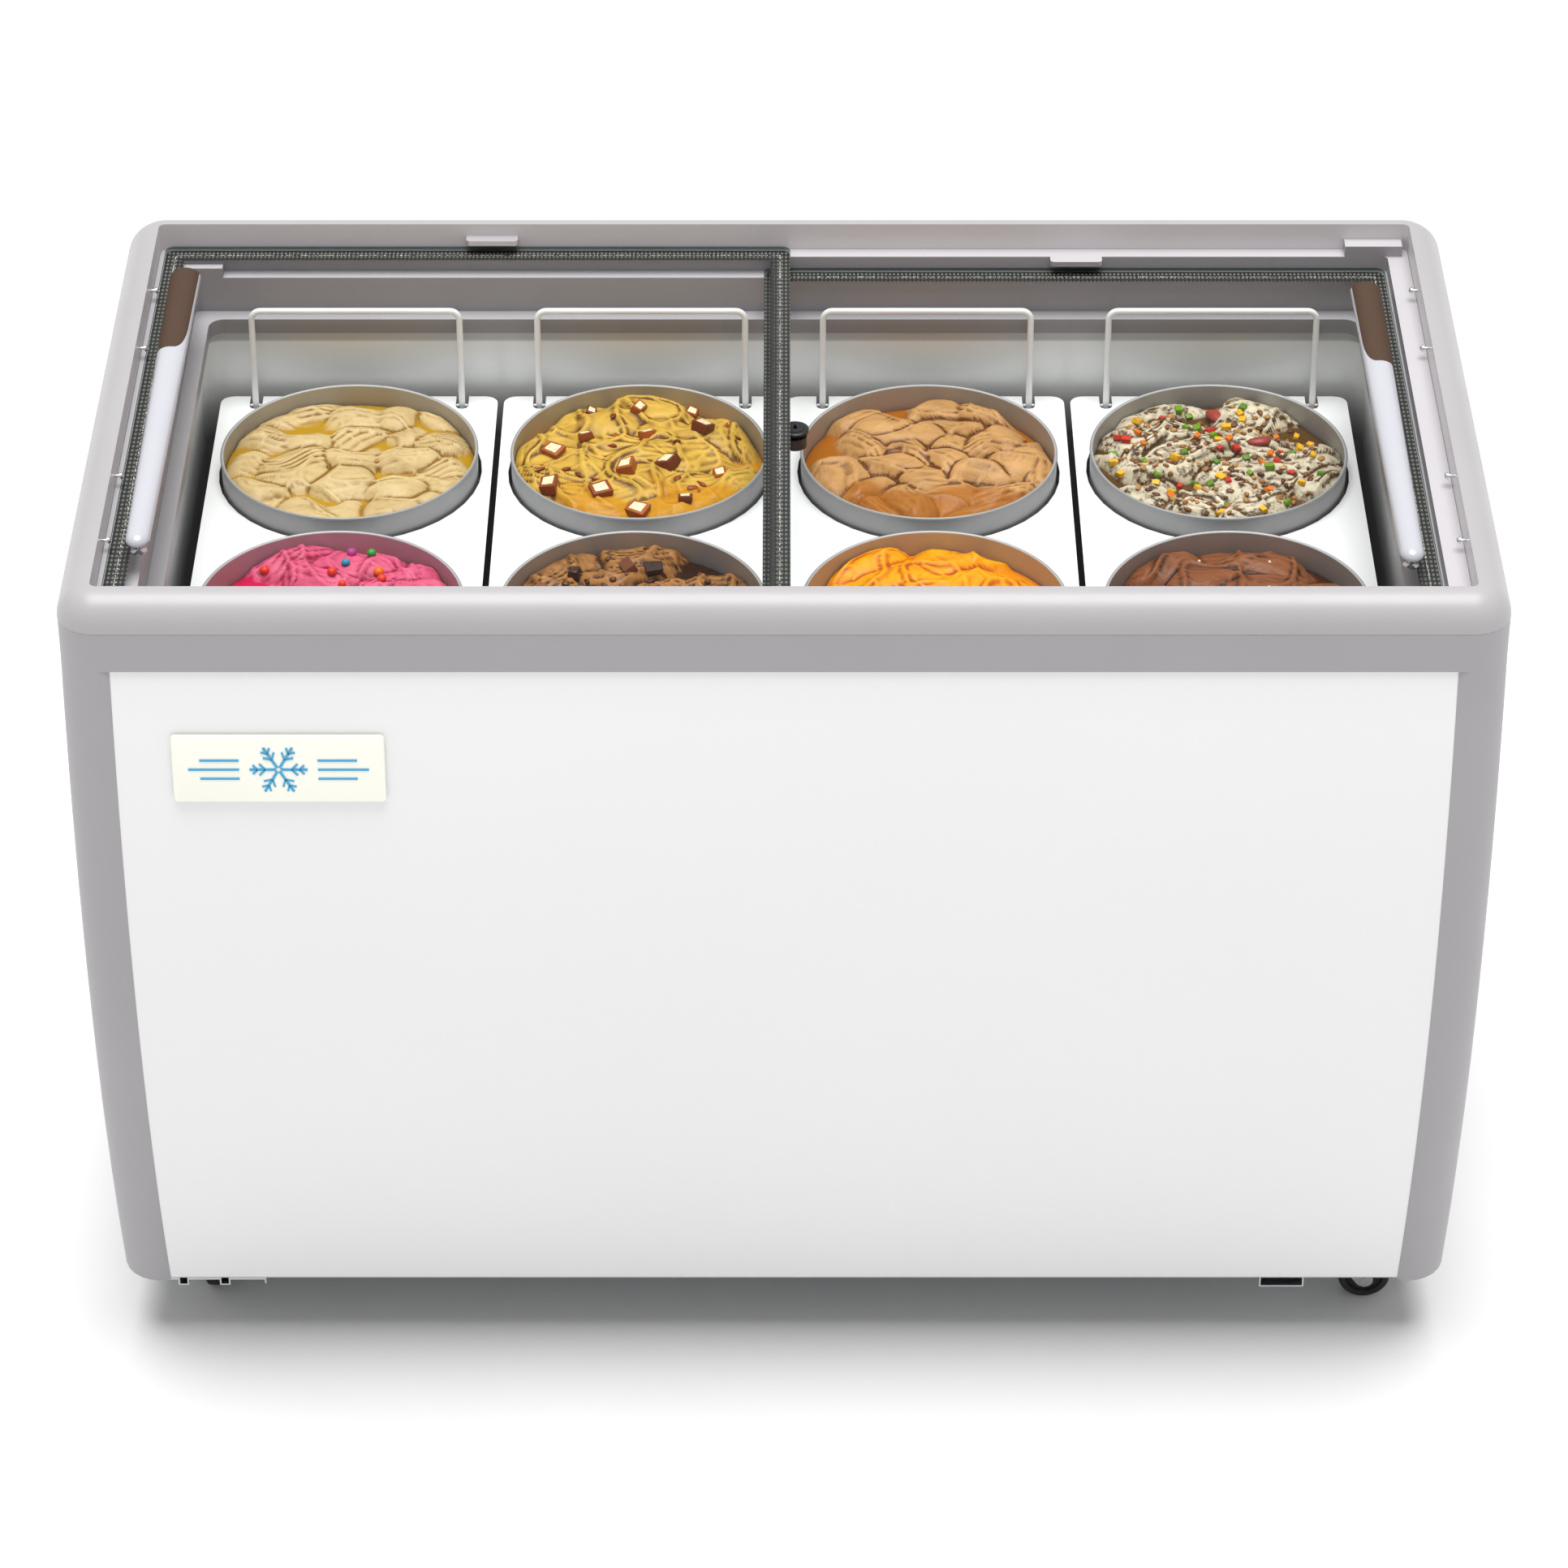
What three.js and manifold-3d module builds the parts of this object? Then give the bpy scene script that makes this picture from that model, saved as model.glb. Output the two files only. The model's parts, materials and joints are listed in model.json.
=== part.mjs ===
// Ice-cream dipping cabinet: a chest freezer with two sliding glass lids and eight round tubs.
// Millimetres, +Z up, +X along the length, -Y is the customer's side.
// Origin: on the floor, under the middle of the overall box.

import * as THREE from "three";
import { mergeVertices } from "three/addons/utils/BufferGeometryUtils.js";
import Module from "manifold-3d";

const wasm = await Module();
wasm.setup();

// ---- driving dimensions ----

const LENGTH = 1245;
const DEPTH = 690;
const HEIGHT = 870;
const CORNER_RADIUS = 36;
const GAP = 0.3; // between pieces that touch on the real cabinet

// rim and grey trim
const SEAM_Z = 840;
const BAND_BOTTOM_Z = 802;
const BASE_Z = 75;
const RIM_HALF = [592.5, 315];
const RIM_CORNER = 6;
const RIM_FLAT = 2;
const TRIM_THICKNESS = 2.5;
const PILLAR_INNER_X = 577;
const PILLAR_WRAP = 45;

// bulging front: an arc from the band down to the base, furthest forward two thirds of the way up
const BULGE = 18;
const PROFILE_STEPS = 15;
const APEX_Z = BASE_Z + ((BAND_BOTTOM_Z - BASE_Z) * 2) / 3;
const BULGE_RADIUS = ((BAND_BOTTOM_Z - APEX_Z) ** 2 + BULGE ** 2) / (2 * BULGE);
const FRONT_Y = -DEPTH / 2;
const BACK_Y = DEPTH / 2;

// sheet-metal wrap
const SHEET = 1.2;
const WRAP_HALF = [LENGTH / 2 - TRIM_THICKNESS - GAP, DEPTH / 2 - TRIM_THICKNESS - GAP];
const WRAP_RADIUS = CORNER_RADIUS - TRIM_THICKNESS - GAP;
const WRAP_TOP_Z = SEAM_Z - 2;
const WRAP_SPLIT_X = 560;
const PANEL_BOTTOM_Z = 78;
const PANEL_LAP = 8; // how far the side sheets reach behind the pillars

// stepped track frame, as half openings at each level
const UPPER_TRACK_Z = 843.3;
const LOWER_TRACK_Z = 828.5;
const INNER_LEDGE_Z = 792;
const LIP_BOTTOM_Z = 777;
const UPPER_TRACK_HALF = [572.5, 300];
const LOWER_TRACK_HALF = [560, 286];
const LIP_HALF = [545.5, 270.5];
const LIP_CORNER = 14;
const STEP_CORNER = 4;

// stops at the end of each track, and tabs that keep each lid down: the upper lid's on the rim
const UPPER_STOP = { x0: 532, x1: 586, height: 11 };
const LOWER_STOP = { x0: -573, x1: -532, height: 10 };
const TAB = { x: 277, halfLength: 24.5, corner: 4, rimY: 303.5, rimZ: 853, frameY: 290, thickness: 5 };

// tank
const TANK_HALF = [556, 281];
const TANK_WALL = 2;
const TANK_CORNER = 20;
const TANK_FLANGE = 16;
const SHELF_Z = 460;
const SHELF_HALF_Y = 262;
const STEP_Z = 430;
const STEP_X = 300;
const FLOOR_Z = 190;
const DRAIN = { x: -480, y: -190, radius: 12 };

// machine compartment at the lower right
const MACHINE = { x0: 345, z1: 385 };
const COMPRESSOR = { x: 480, y: 180, footHalfX: 85, footHalfY: 62, footTopZ: 84 };
const CONDENSER = { x0: 362, x1: 602, y0: -90, y1: -10, z1: 330, frame: 15, fins: 11, pitch: 20, throat: 98 };
const FAN = { hub: 24, depth: 16, y: -24, blades: 5, bladeReach: 90, blade: [70, 2, 44], bladeTurn: 0.3 };
const GRILLE = { x0: 618.5, y0: -60, y1: 260, z0: 110, z1: 330, border: 14, slats: 9, pitch: 16, slot: 7 };
const DIAL = { y: -20, z: 290, radius: 18, depth: 14 };
const INLET = { x: 470, z: 150, halfX: 24, halfZ: 16, lip: 3, shell: 4, socketHalf: [14, 8] };

// underside: a vented pan, a ribbed beam for the left casters and a rail under the machine
const PAN_SHEET = 2;
const VENTS = { count: 6, x0: 350, pitch: 16, width: 6, halfY: 150 };
const BEAM = { x0: -580, x1: -488, y1: 320, ribX: [-571, -532], rib: 10, ribZ: 64, sheet: 1.5, web: 60 };
const RAIL = { x0: 448, x1: 490, y1: 330, z0: 62, sheet: 1.5 };
const UNDERSIDE_Y0 = FRONT_Y + 62;

// badge on the front panel
const BADGE = {
  x: -436,
  z: 709.5,
  halfX: 89,
  halfZ: 30,
  corner: 1,
  bevel: 3,
  rise: 1.5,
  depth: 1,
  sunk: 0.4,
};

// glass lids
const GLASS = 4;
const GLASS_CORNER = 8;
const UPPER_LID = { x0: -587, x1: 6, halfY: 312, z: UPPER_TRACK_Z + GAP, handleX: -560, flip: 1 };
const LOWER_LID = { x0: -19, x1: 570, halfY: 297, z: LOWER_TRACK_Z + GAP, handleX: 545, flip: -1 };
const LOCK = { x: 10, radius: 10.7, hole: 11, flange: 12.5, core: 8 };

// handles
const HANDLE = { length: 480, width: 25, taper: 0.16, thickness: 9, rise: 13, edge: 1, round: 9 };
const HANDLE_POST = { radius: 4, foot: 7, y: 225 };
const INLAY = { y: 88, depth: 7, squareX: 3, curve: 38, nearInset: 3.2, farInset: 1.4 };

// tubs and their carriers
const PITCH_X = 270.8;
const TUB_Y = 130;
const TUB = { radius: 120.5, wall: 1.2, lipZ: 733, bottomZ: 462.6 };
const CREAM_TOP_Z = 715;
const FLAVOURS = {
  back: [0xe0cfa3, 0xdcbb6c, 0xd3a678, 0xdacfb8],
  front: [0xef7da6, 0xae8157, 0xfbb411, 0x99643f],
};
const PLATE = { width: 264.8, depth: 534, z: 709, sheet: 2, hole: 123, corner: 12 };
const STRAP_WIDTH = 130;
const SLOT = { width: 12, depth: 23 };
const BAIL = { halfWidth: 98.5, height: 99, wire: 6, corner: 9, pivotY: 252, foot: 4, lean: 5 };

// casters
const WHEEL = { radius: 25, halfWidth: 10, bore: 4.3, hub: 9, segments: 20 };
const WHEEL_Z = WHEEL.radius * Math.cos(Math.PI / WHEEL.segments);
const CASTER = { leftX: 545, rightX: 537, frontY: 217, backY: 228, pad: 30, crownZ: 53, neckTopZ: 70.2 };
const FORK = { trail: 18, axle: 4, legGap: 11, leg: 2.5 };

const TAU = Math.PI * 2;

// ---- helpers ----

function toSolid(geometry) {
  const bare = geometry.clone();
  bare.deleteAttribute("normal");
  bare.deleteAttribute("uv");
  const merged = mergeVertices(bare, 1e-4);
  const index = merged.index.array;
  const triangles = [];
  for (let i = 0; i < index.length; i += 3) {
    const [a, b, c] = index.slice(i, i + 3);
    if (a !== b && b !== c && c !== a) {
      triangles.push(a, b, c);
    }
  }
  const vertProperties = merged.attributes.position.array;
  const triVerts = new Uint32Array(triangles);
  return new wasm.Manifold(new wasm.Mesh({ numProp: 3, vertProperties, triVerts }));
}

function toGeometry(solid) {
  const mesh = solid.getMesh();
  const geometry = new THREE.BufferGeometry();
  geometry.setAttribute("position", new THREE.BufferAttribute(mesh.vertProperties, 3));
  geometry.setIndex(new THREE.BufferAttribute(mesh.triVerts, 1));
  geometry.computeVertexNormals();
  return geometry;
}

function box(x0, x1, y0, y1, z0, z1) {
  const geometry = new THREE.BoxGeometry(x1 - x0, y1 - y0, z1 - z0);
  return toSolid(geometry.translate((x0 + x1) / 2, (y0 + y1) / 2, (z0 + z1) / 2));
}

function rod(radius, z0, z1, segments = 24) {
  const geometry = new THREE.CylinderGeometry(radius, radius, z1 - z0, segments);
  return toSolid(geometry.rotateX(Math.PI / 2).translate(0, 0, (z0 + z1) / 2));
}

function rodAt(x, y, radius, z0, z1, segments = 24) {
  const geometry = new THREE.CylinderGeometry(radius, radius, z1 - z0, segments);
  return toSolid(geometry.rotateX(Math.PI / 2).translate(x, y, (z0 + z1) / 2));
}

// points are [radius, z] pairs that go round the section counter-clockwise, or from axis to axis
function turned(points, segments) {
  const profile = points.map(([radius, z]) => new THREE.Vector2(radius, z));
  return toSolid(new THREE.LatheGeometry(profile, segments).rotateX(Math.PI / 2));
}

function roundedRectangle(halfX, halfY, radius) {
  const shape = new THREE.Shape();
  shape.absarc(halfX - radius, halfY - radius, radius, 0, TAU / 4);
  shape.absarc(radius - halfX, halfY - radius, radius, TAU / 4, TAU / 2);
  shape.absarc(radius - halfX, radius - halfY, radius, TAU / 2, (TAU * 3) / 4);
  shape.absarc(halfX - radius, radius - halfY, radius, (TAU * 3) / 4, TAU);
  shape.closePath();
  return shape;
}

function slab(shape, z0, z1, curveSegments) {
  const geometry = new THREE.ExtrudeGeometry(shape, { depth: z1 - z0, bevelEnabled: false, curveSegments });
  return toSolid(geometry.translate(0, 0, z0));
}

function block([halfX, halfY], radius, z0, z1, curveSegments = 3) {
  return slab(roundedRectangle(halfX, halfY, radius), z0, z1, curveSegments);
}

// how far the front stands behind (+) or ahead (-) of the rim at a height
function frontOffset(z) {
  if (z >= BAND_BOTTOM_Z) {
    return 0;
  }
  return BULGE_RADIUS - Math.sqrt(BULGE_RADIUS ** 2 - (z - APEX_Z) ** 2) - BULGE;
}

function profileHeights() {
  const step = (BAND_BOTTOM_Z - BASE_Z) / PROFILE_STEPS;
  return Array.from({ length: PROFILE_STEPS + 1 }, (_, i) => BASE_Z + i * step);
}

// everything in front of the bulging surface, pushed back by an inset
function frontZone(inset) {
  const shape = new THREE.Shape();
  shape.moveTo(FRONT_Y - 100, 0);
  shape.lineTo(FRONT_Y + inset + frontOffset(BASE_Z), 0);
  for (const z of profileHeights()) {
    shape.lineTo(FRONT_Y + inset + frontOffset(z), z);
  }
  shape.lineTo(FRONT_Y + inset, HEIGHT + 50);
  shape.lineTo(FRONT_Y - 100, HEIGHT + 50);
  shape.closePath();
  const geometry = new THREE.ExtrudeGeometry(shape, { depth: LENGTH + 100, bevelEnabled: false });
  geometry.translate(0, 0, -LENGTH / 2 - 50);
  return toSolid(geometry.rotateX(Math.PI / 2).rotateZ(Math.PI / 2));
}

function mirrorX(geometry) {
  geometry.scale(-1, 1, 1);
  const position = geometry.attributes.position.array;
  for (let i = 0; i < position.length; i += 9) {
    for (let axis = 0; axis < 3; axis += 1) {
      const kept = position[i + axis];
      position[i + axis] = position[i + 3 + axis];
      position[i + 3 + axis] = kept;
    }
  }
  return geometry;
}

function paint(color, roughness, metalness = 0) {
  return new THREE.MeshStandardMaterial({ color, roughness, metalness });
}

const materials = {
  rim: paint(0xe4e1e3, 0.4),
  trim: paint(0xa6a3a6, 0.42),
  frame: paint(0xd6d4d6, 0.45),
  white: paint(0xf4f4f4, 0.3, 0.1),
  tank: paint(0xb4b5b4, 0.5, 0.2),
  foam: paint(0xe6d9a8, 0.95),
  steel: paint(0xb0b2b4, 0.35, 0.8),
  black: paint(0x17181a, 0.5),
  glass: paint(0xcfe0e0, 0.05),
  brown: paint(0x5f4020, 0.55),
  tub: paint(0x8f8f90, 0.4, 0.4),
  badge: paint(0xf6f5ea, 0.35),
};

materials.glass.transparent = true;
materials.glass.opacity = 0.35;

function addPart(parent, name, solid, material) {
  const mesh = new THREE.Mesh(toGeometry(solid), material);
  mesh.name = name;
  parent.add(mesh);
  return mesh;
}

// ---- cabinet ----

// a rounded tab on the front wall and on the back wall, from its free edge to the wall
function tabs(x, edgeY, wallY, z) {
  const depth = wallY - edgeY + 1;
  const reach = depth + TAB.corner;
  const tab = block([TAB.halfLength, reach / 2], TAB.corner, z, z + TAB.thickness);
  const slice = box(-LENGTH, LENGTH, edgeY, wallY + 1, 0, HEIGHT);
  const back = tab.translate([x, edgeY + reach / 2, 0]).intersect(slice);
  return back.add(back.mirror([0, 1, 0]));
}

function topRim() {
  const flatHalf = RIM_HALF.map((half) => half + RIM_FLAT);
  const roundSize = CORNER_RADIUS - RIM_CORNER - RIM_FLAT;
  const geometry = new THREE.ExtrudeGeometry(
    roundedRectangle(flatHalf[0], flatHalf[1], RIM_CORNER + RIM_FLAT),
    { depth: 1, curveSegments: 4, bevelSize: roundSize, bevelThickness: HEIGHT - SEAM_Z, bevelSegments: 7 },
  );
  geometry.translate(0, 0, SEAM_Z - 1);
  const upperHalf = block([LENGTH, DEPTH], 1, SEAM_Z, HEIGHT + 1);
  let rim = toSolid(geometry).intersect(upperHalf);
  rim = rim.subtract(block(RIM_HALF, RIM_CORNER, SEAM_Z - 1, HEIGHT + 1));
  return rim.add(tabs(-TAB.x, TAB.rimY, RIM_HALF[1], TAB.rimZ));
}

function trackFrame() {
  const outer = WRAP_HALF.map((half) => half - SHEET - GAP);
  const raised = RIM_HALF.map((half) => half - GAP);
  let frame = block(outer, WRAP_RADIUS - SHEET - GAP, LIP_BOTTOM_Z, SEAM_Z - GAP);
  frame = frame.add(block(raised, RIM_CORNER - GAP, SEAM_Z - 5, UPPER_TRACK_Z));
  frame = frame.subtract(block(UPPER_TRACK_HALF, STEP_CORNER, LOWER_TRACK_Z, HEIGHT));
  frame = frame.subtract(block(LOWER_TRACK_HALF, STEP_CORNER, INNER_LEDGE_Z, HEIGHT));
  frame = frame.subtract(block(LIP_HALF, LIP_CORNER, LIP_BOTTOM_Z - 1, HEIGHT));
  for (const side of [-1, 1]) {
    const between = (a, b) => [side * a, side * b].sort((p, q) => p - q);
    const [upper0, upper1] = between(UPPER_TRACK_HALF[1], raised[1]);
    const [lower0, lower1] = between(LOWER_TRACK_HALF[1], UPPER_TRACK_HALF[1] + 1);
    const upperTop = UPPER_TRACK_Z + UPPER_STOP.height;
    const lowerTop = LOWER_TRACK_Z + LOWER_STOP.height;
    frame = frame.add(box(UPPER_STOP.x0, UPPER_STOP.x1, upper0, upper1, UPPER_TRACK_Z - 1, upperTop));
    frame = frame.add(box(LOWER_STOP.x0, LOWER_STOP.x1, lower0, lower1, LOWER_TRACK_Z - 1, lowerTop));
  }
  return frame.add(tabs(TAB.x, TAB.frameY, UPPER_TRACK_HALF[1], UPPER_TRACK_Z - TAB.thickness));
}

function pillar() {
  const outerX = LENGTH / 2;
  const centreX = outerX - CORNER_RADIUS;
  const centreY = FRONT_Y + CORNER_RADIUS;
  const inner = CORNER_RADIUS - TRIM_THICKNESS;
  const shape = new THREE.Shape();
  shape.moveTo(PILLAR_INNER_X, FRONT_Y);
  shape.absarc(centreX, centreY, CORNER_RADIUS, -TAU / 4, 0);
  shape.lineTo(outerX, FRONT_Y + PILLAR_WRAP);
  shape.lineTo(outerX - TRIM_THICKNESS, FRONT_Y + PILLAR_WRAP);
  shape.absarc(centreX, centreY, inner, 0, -TAU / 4, true);
  shape.lineTo(PILLAR_INNER_X, FRONT_Y + TRIM_THICKNESS);
  shape.closePath();
  const depth = BAND_BOTTOM_Z - BASE_Z;
  const options = { depth, steps: PROFILE_STEPS, bevelEnabled: false, curveSegments: 3 };
  const geometry = new THREE.ExtrudeGeometry(shape, options).translate(0, 0, BASE_Z);
  const position = geometry.attributes.position;
  for (let i = 0; i < position.count; i += 1) {
    position.setY(i, position.getY(i) + frontOffset(position.getZ(i)));
  }
  return geometry;
}

function trimFrame() {
  const outer = [LENGTH / 2, DEPTH / 2];
  const inner = outer.map((half) => half - TRIM_THICKNESS);
  const band = block(outer, CORNER_RADIUS, BAND_BOTTOM_Z, SEAM_Z - GAP);
  const opening = block(inner, CORNER_RADIUS - TRIM_THICKNESS, BAND_BOTTOM_Z - 1, SEAM_Z);
  return band.subtract(opening).add(toSolid(pillar())).add(toSolid(mirrorX(pillar())));
}

function frontPanel() {
  const inset = TRIM_THICKNESS + GAP;
  const sheet = frontZone(inset + SHEET).subtract(frontZone(inset));
  return sheet.intersect(box(-WRAP_SPLIT_X - 25, WRAP_SPLIT_X + 25, -DEPTH, 0, PANEL_BOTTOM_Z, WRAP_TOP_Z));
}

function wrap() {
  const inner = WRAP_HALF.map((half) => half - SHEET);
  const outside = block(WRAP_HALF, WRAP_RADIUS, BASE_Z + 2 + GAP, WRAP_TOP_Z);
  const sheet = outside.subtract(block(inner, WRAP_RADIUS - SHEET, 0, HEIGHT));
  return sheet.subtract(frontZone(PILLAR_WRAP - PANEL_LAP));
}

function sidePanel(side) {
  const region = side < 0
    ? box(-LENGTH, -WRAP_SPLIT_X, -DEPTH, DEPTH, 0, HEIGHT)
    : box(WRAP_SPLIT_X, LENGTH, -DEPTH, DEPTH, 0, HEIGHT);
  const panel = wrap().intersect(region);
  if (side < 0) {
    return panel;
  }
  return panel.subtract(box(WRAP_SPLIT_X, LENGTH, GRILLE.y0, GRILLE.y1, GRILLE.z0, GRILLE.z1));
}

function backPanel() {
  const limit = WRAP_SPLIT_X - GAP;
  const panel = wrap().intersect(box(-limit, limit, 0, DEPTH, 0, HEIGHT));
  const halfX = INLET.halfX - INLET.lip;
  const halfZ = INLET.halfZ - INLET.lip;
  return panel.subtract(
    box(INLET.x - halfX, INLET.x + halfX, BACK_Y - 50, BACK_Y, INLET.z - halfZ, INLET.z + halfZ),
  );
}

// the two vertical strips that the rounded pillars take up
function pillarCorners() {
  const inner = LENGTH / 2 - CORNER_RADIUS - 2;
  const behind = frontZone(CORNER_RADIUS + 2);
  const middle = box(-inner, inner, -DEPTH, DEPTH, 0, HEIGHT + 100);
  return behind.subtract(middle);
}

function casterY(side) {
  return side < 0 ? -CASTER.frontY : CASTER.backY;
}

function basePan() {
  const half = WRAP_HALF.map((value) => value - SHEET - GAP);
  let pan = block(half, WRAP_RADIUS - SHEET - GAP, BASE_Z, BASE_Z + PAN_SHEET);
  pan = pan.subtract(frontZone(TRIM_THICKNESS + SHEET + 2 * GAP)).subtract(pillarCorners());
  for (const side of [-1, 1]) {
    const { rightX: x, pad, neckTopZ } = CASTER;
    const y = casterY(side);
    pan = pan.add(box(x - pad, x + pad, y - pad, y + pad, neckTopZ + GAP, BASE_Z + 1));
  }
  for (let i = 0; i < VENTS.count; i += 1) {
    const x = VENTS.x0 + i * VENTS.pitch;
    pan = pan.subtract(box(x, x + VENTS.width, -VENTS.halfY, VENTS.halfY, 0, BASE_Z + PAN_SHEET + 1));
  }
  return pan;
}

// ribbed sheet that carries the two left casters
function casterBeam() {
  const { x0, x1, y1, rib, ribZ, sheet, web } = BEAM;
  const y0 = UNDERSIDE_Y0;
  const top = BASE_Z - GAP;
  const bottom = CASTER.neckTopZ + GAP;
  let beam = box(x0, x1, y0, y1, bottom, top);
  for (const x of BEAM.ribX) {
    beam = beam.add(box(x, x + rib, y0, y1, ribZ, bottom + 1));
    beam = beam.subtract(box(x + sheet, x + rib - sheet, y0 - 1, y1 + 1, ribZ + sheet, top + 1));
    beam = beam.add(box(x, x + rib, y0 + web, y0 + web + rib, ribZ, top));
  }
  return beam.add(box(x1 - sheet, x1, y0, y1, ribZ + 2, top));
}

// open box rail under the machine compartment
function baseRail() {
  const { x0, x1, y1, z0, sheet } = RAIL;
  const top = BASE_Z - GAP;
  const rail = box(x0, x1, UNDERSIDE_Y0, y1, z0, top);
  const hollow = box(x0 + sheet, x1 - sheet, UNDERSIDE_Y0 - 1, y1 + 1, z0 + sheet, top - sheet);
  return rail.subtract(hollow);
}

// the space inside the tank, grown outwards by a margin
function tankSpace(margin, topZ) {
  const halfX = TANK_HALF[0] + margin;
  const radius = TANK_CORNER + margin;
  let space = block([halfX, TANK_HALF[1] + margin], radius, SHELF_Z - margin, topZ);
  space = space.add(block([halfX, SHELF_HALF_Y + margin], radius, STEP_Z - margin, SHELF_Z + 1));
  const low = block([halfX, SHELF_HALF_Y + margin], radius, FLOOR_Z - margin, STEP_Z + 1);
  return space.add(low.subtract(box(STEP_X + margin, LENGTH, -DEPTH, DEPTH, 0, STEP_Z - margin)));
}

function liner() {
  const top = LIP_BOTTOM_Z - GAP;
  const flange = TANK_HALF.map((half) => half + TANK_FLANGE);
  let tank = tankSpace(TANK_WALL, top);
  tank = tank.add(block(flange, TANK_CORNER + TANK_FLANGE, top - TANK_WALL, top));
  tank = tank.subtract(tankSpace(0, top + 1));
  return tank.subtract(rodAt(DRAIN.x, DRAIN.y, DRAIN.radius + GAP, FLOOR_Z - 10, FLOOR_Z + 10));
}

function insulation() {
  const half = WRAP_HALF.map((value) => value - SHEET - 1);
  const top = LIP_BOTTOM_Z - GAP - TANK_WALL - GAP;
  let foam = block(half, WRAP_RADIUS - SHEET - 1, BASE_Z + 3, top);
  foam = foam.subtract(frontZone(TRIM_THICKNESS + SHEET + 4)).subtract(pillarCorners());
  foam = foam.subtract(tankSpace(TANK_WALL + 0.5, HEIGHT));
  foam = foam.subtract(box(MACHINE.x0, LENGTH, -DEPTH, DEPTH, 0, MACHINE.z1));
  return foam.subtract(rodAt(DRAIN.x, DRAIN.y, DRAIN.radius + 2, 0, FLOOR_Z + 1));
}

// a welded can, wider at its seam, with feet and a terminal box
function compressor() {
  const can = [[0, 82], [76, 82], [76, 90], [70, 94], [72, 190], [66, 225], [50, 248], [24, 260], [0, 263]];
  const { footHalfX, footHalfY, footTopZ } = COMPRESSOR;
  const feet = box(-footHalfX, footHalfX, -footHalfY, footHalfY, BASE_Z + PAN_SHEET + GAP, footTopZ);
  const terminalBox = box(60, 88, -30, 30, 120, 190);
  return turned(can, 28).add(feet).add(terminalBox);
}

function condenser() {
  const { x0, x1, y0, y1, z1, frame, fins, pitch, throat } = CONDENSER;
  const z0 = BASE_Z + PAN_SHEET + GAP;
  let unit = box(x0, x1, y0, y1, z0, z1);
  for (let i = 0; i < fins; i += 1) {
    const x = x0 + frame - 3 + i * pitch;
    unit = unit.subtract(box(x, x + pitch - 6, y0 - 1, (y0 + y1) / 2 + 10, z0 + frame, z1 - frame));
  }
  const middle = [(x0 + x1) / 2, (z0 + z1) / 2];
  const tunnel = new THREE.CylinderGeometry(throat, throat, y1 - y0, 32).translate(middle[0], y1, middle[1]);
  return unit.subtract(toSolid(tunnel).intersect(box(x0, x1, (y0 + y1) / 2 + 10, y1 + 1, z0, z1)));
}

function fanRotor() {
  const { hub, depth, blades, bladeReach, blade, bladeTurn } = FAN;
  let rotor = toSolid(new THREE.CylinderGeometry(hub, hub, depth, 20));
  for (let i = 0; i < blades; i += 1) {
    const paddle = new THREE.BoxGeometry(...blade).rotateX(bladeTurn);
    paddle.translate(bladeReach - blade[0] / 2, 0, 0);
    rotor = rotor.add(toSolid(paddle.rotateY((i * TAU) / blades)));
  }
  return rotor;
}

function ventGrille() {
  const { x0, y0, y1, z0, z1, border, slats, pitch, slot } = GRILLE;
  let grille = box(x0, LENGTH / 2 - 1, y0 + GAP, y1 - GAP, z0 + GAP, z1 - GAP);
  for (let i = 0; i < slats; i += 1) {
    const z = z0 + border + i * pitch;
    grille = grille.subtract(box(x0 - 1, LENGTH, y0 + border, y1 - border, z, z + slot));
  }
  const hole = new THREE.CylinderGeometry(DIAL.radius + GAP, DIAL.radius + GAP, 60, 28);
  return grille.subtract(toSolid(hole.rotateZ(Math.PI / 2).translate(LENGTH / 2, DIAL.y, DIAL.z)));
}

function thermostatDial() {
  const disc = new THREE.CylinderGeometry(DIAL.radius, DIAL.radius, DIAL.depth, 28).rotateZ(Math.PI / 2);
  const coinSlot = box(3, DIAL.depth, -12, 12, -1.2, 1.2);
  return toSolid(disc).subtract(coinSlot);
}

// a socket with its shell behind the back panel, and a plate in front of it
function powerInlet() {
  const { x, z, halfX, halfZ, shell, socketHalf } = INLET;
  const plate = box(x - halfX, x + halfX, BACK_Y - 2.4, BACK_Y - 0.4, z - halfZ, z + halfZ);
  const [bodyX, bodyZ] = [halfX - shell, halfZ - shell];
  const body = box(x - bodyX, x + bodyX, BACK_Y - 25, BACK_Y - 2, z - bodyZ, z + bodyZ);
  const [holeX, holeZ] = socketHalf;
  return plate.add(body).subtract(box(x - holeX, x + holeX, BACK_Y - 20, BACK_Y, z - holeZ, z + holeZ));
}

function drainPlug() {
  const stem = DRAIN.radius;
  const section = [[0, -20], [stem - 1, -20], [stem, -16], [stem, GAP]];
  section.push([stem + 7, GAP], [stem + 7, 3], [5, 5], [5, 12], [0, 12]);
  return turned(section, 20);
}

function badge() {
  const { halfX, halfZ, corner, bevel, rise, depth } = BADGE;
  const options = { depth, bevelSize: bevel, bevelThickness: rise, bevelSegments: 2, curveSegments: 2 };
  return toSolid(new THREE.ExtrudeGeometry(roundedRectangle(halfX, halfZ, corner), options));
}

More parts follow.
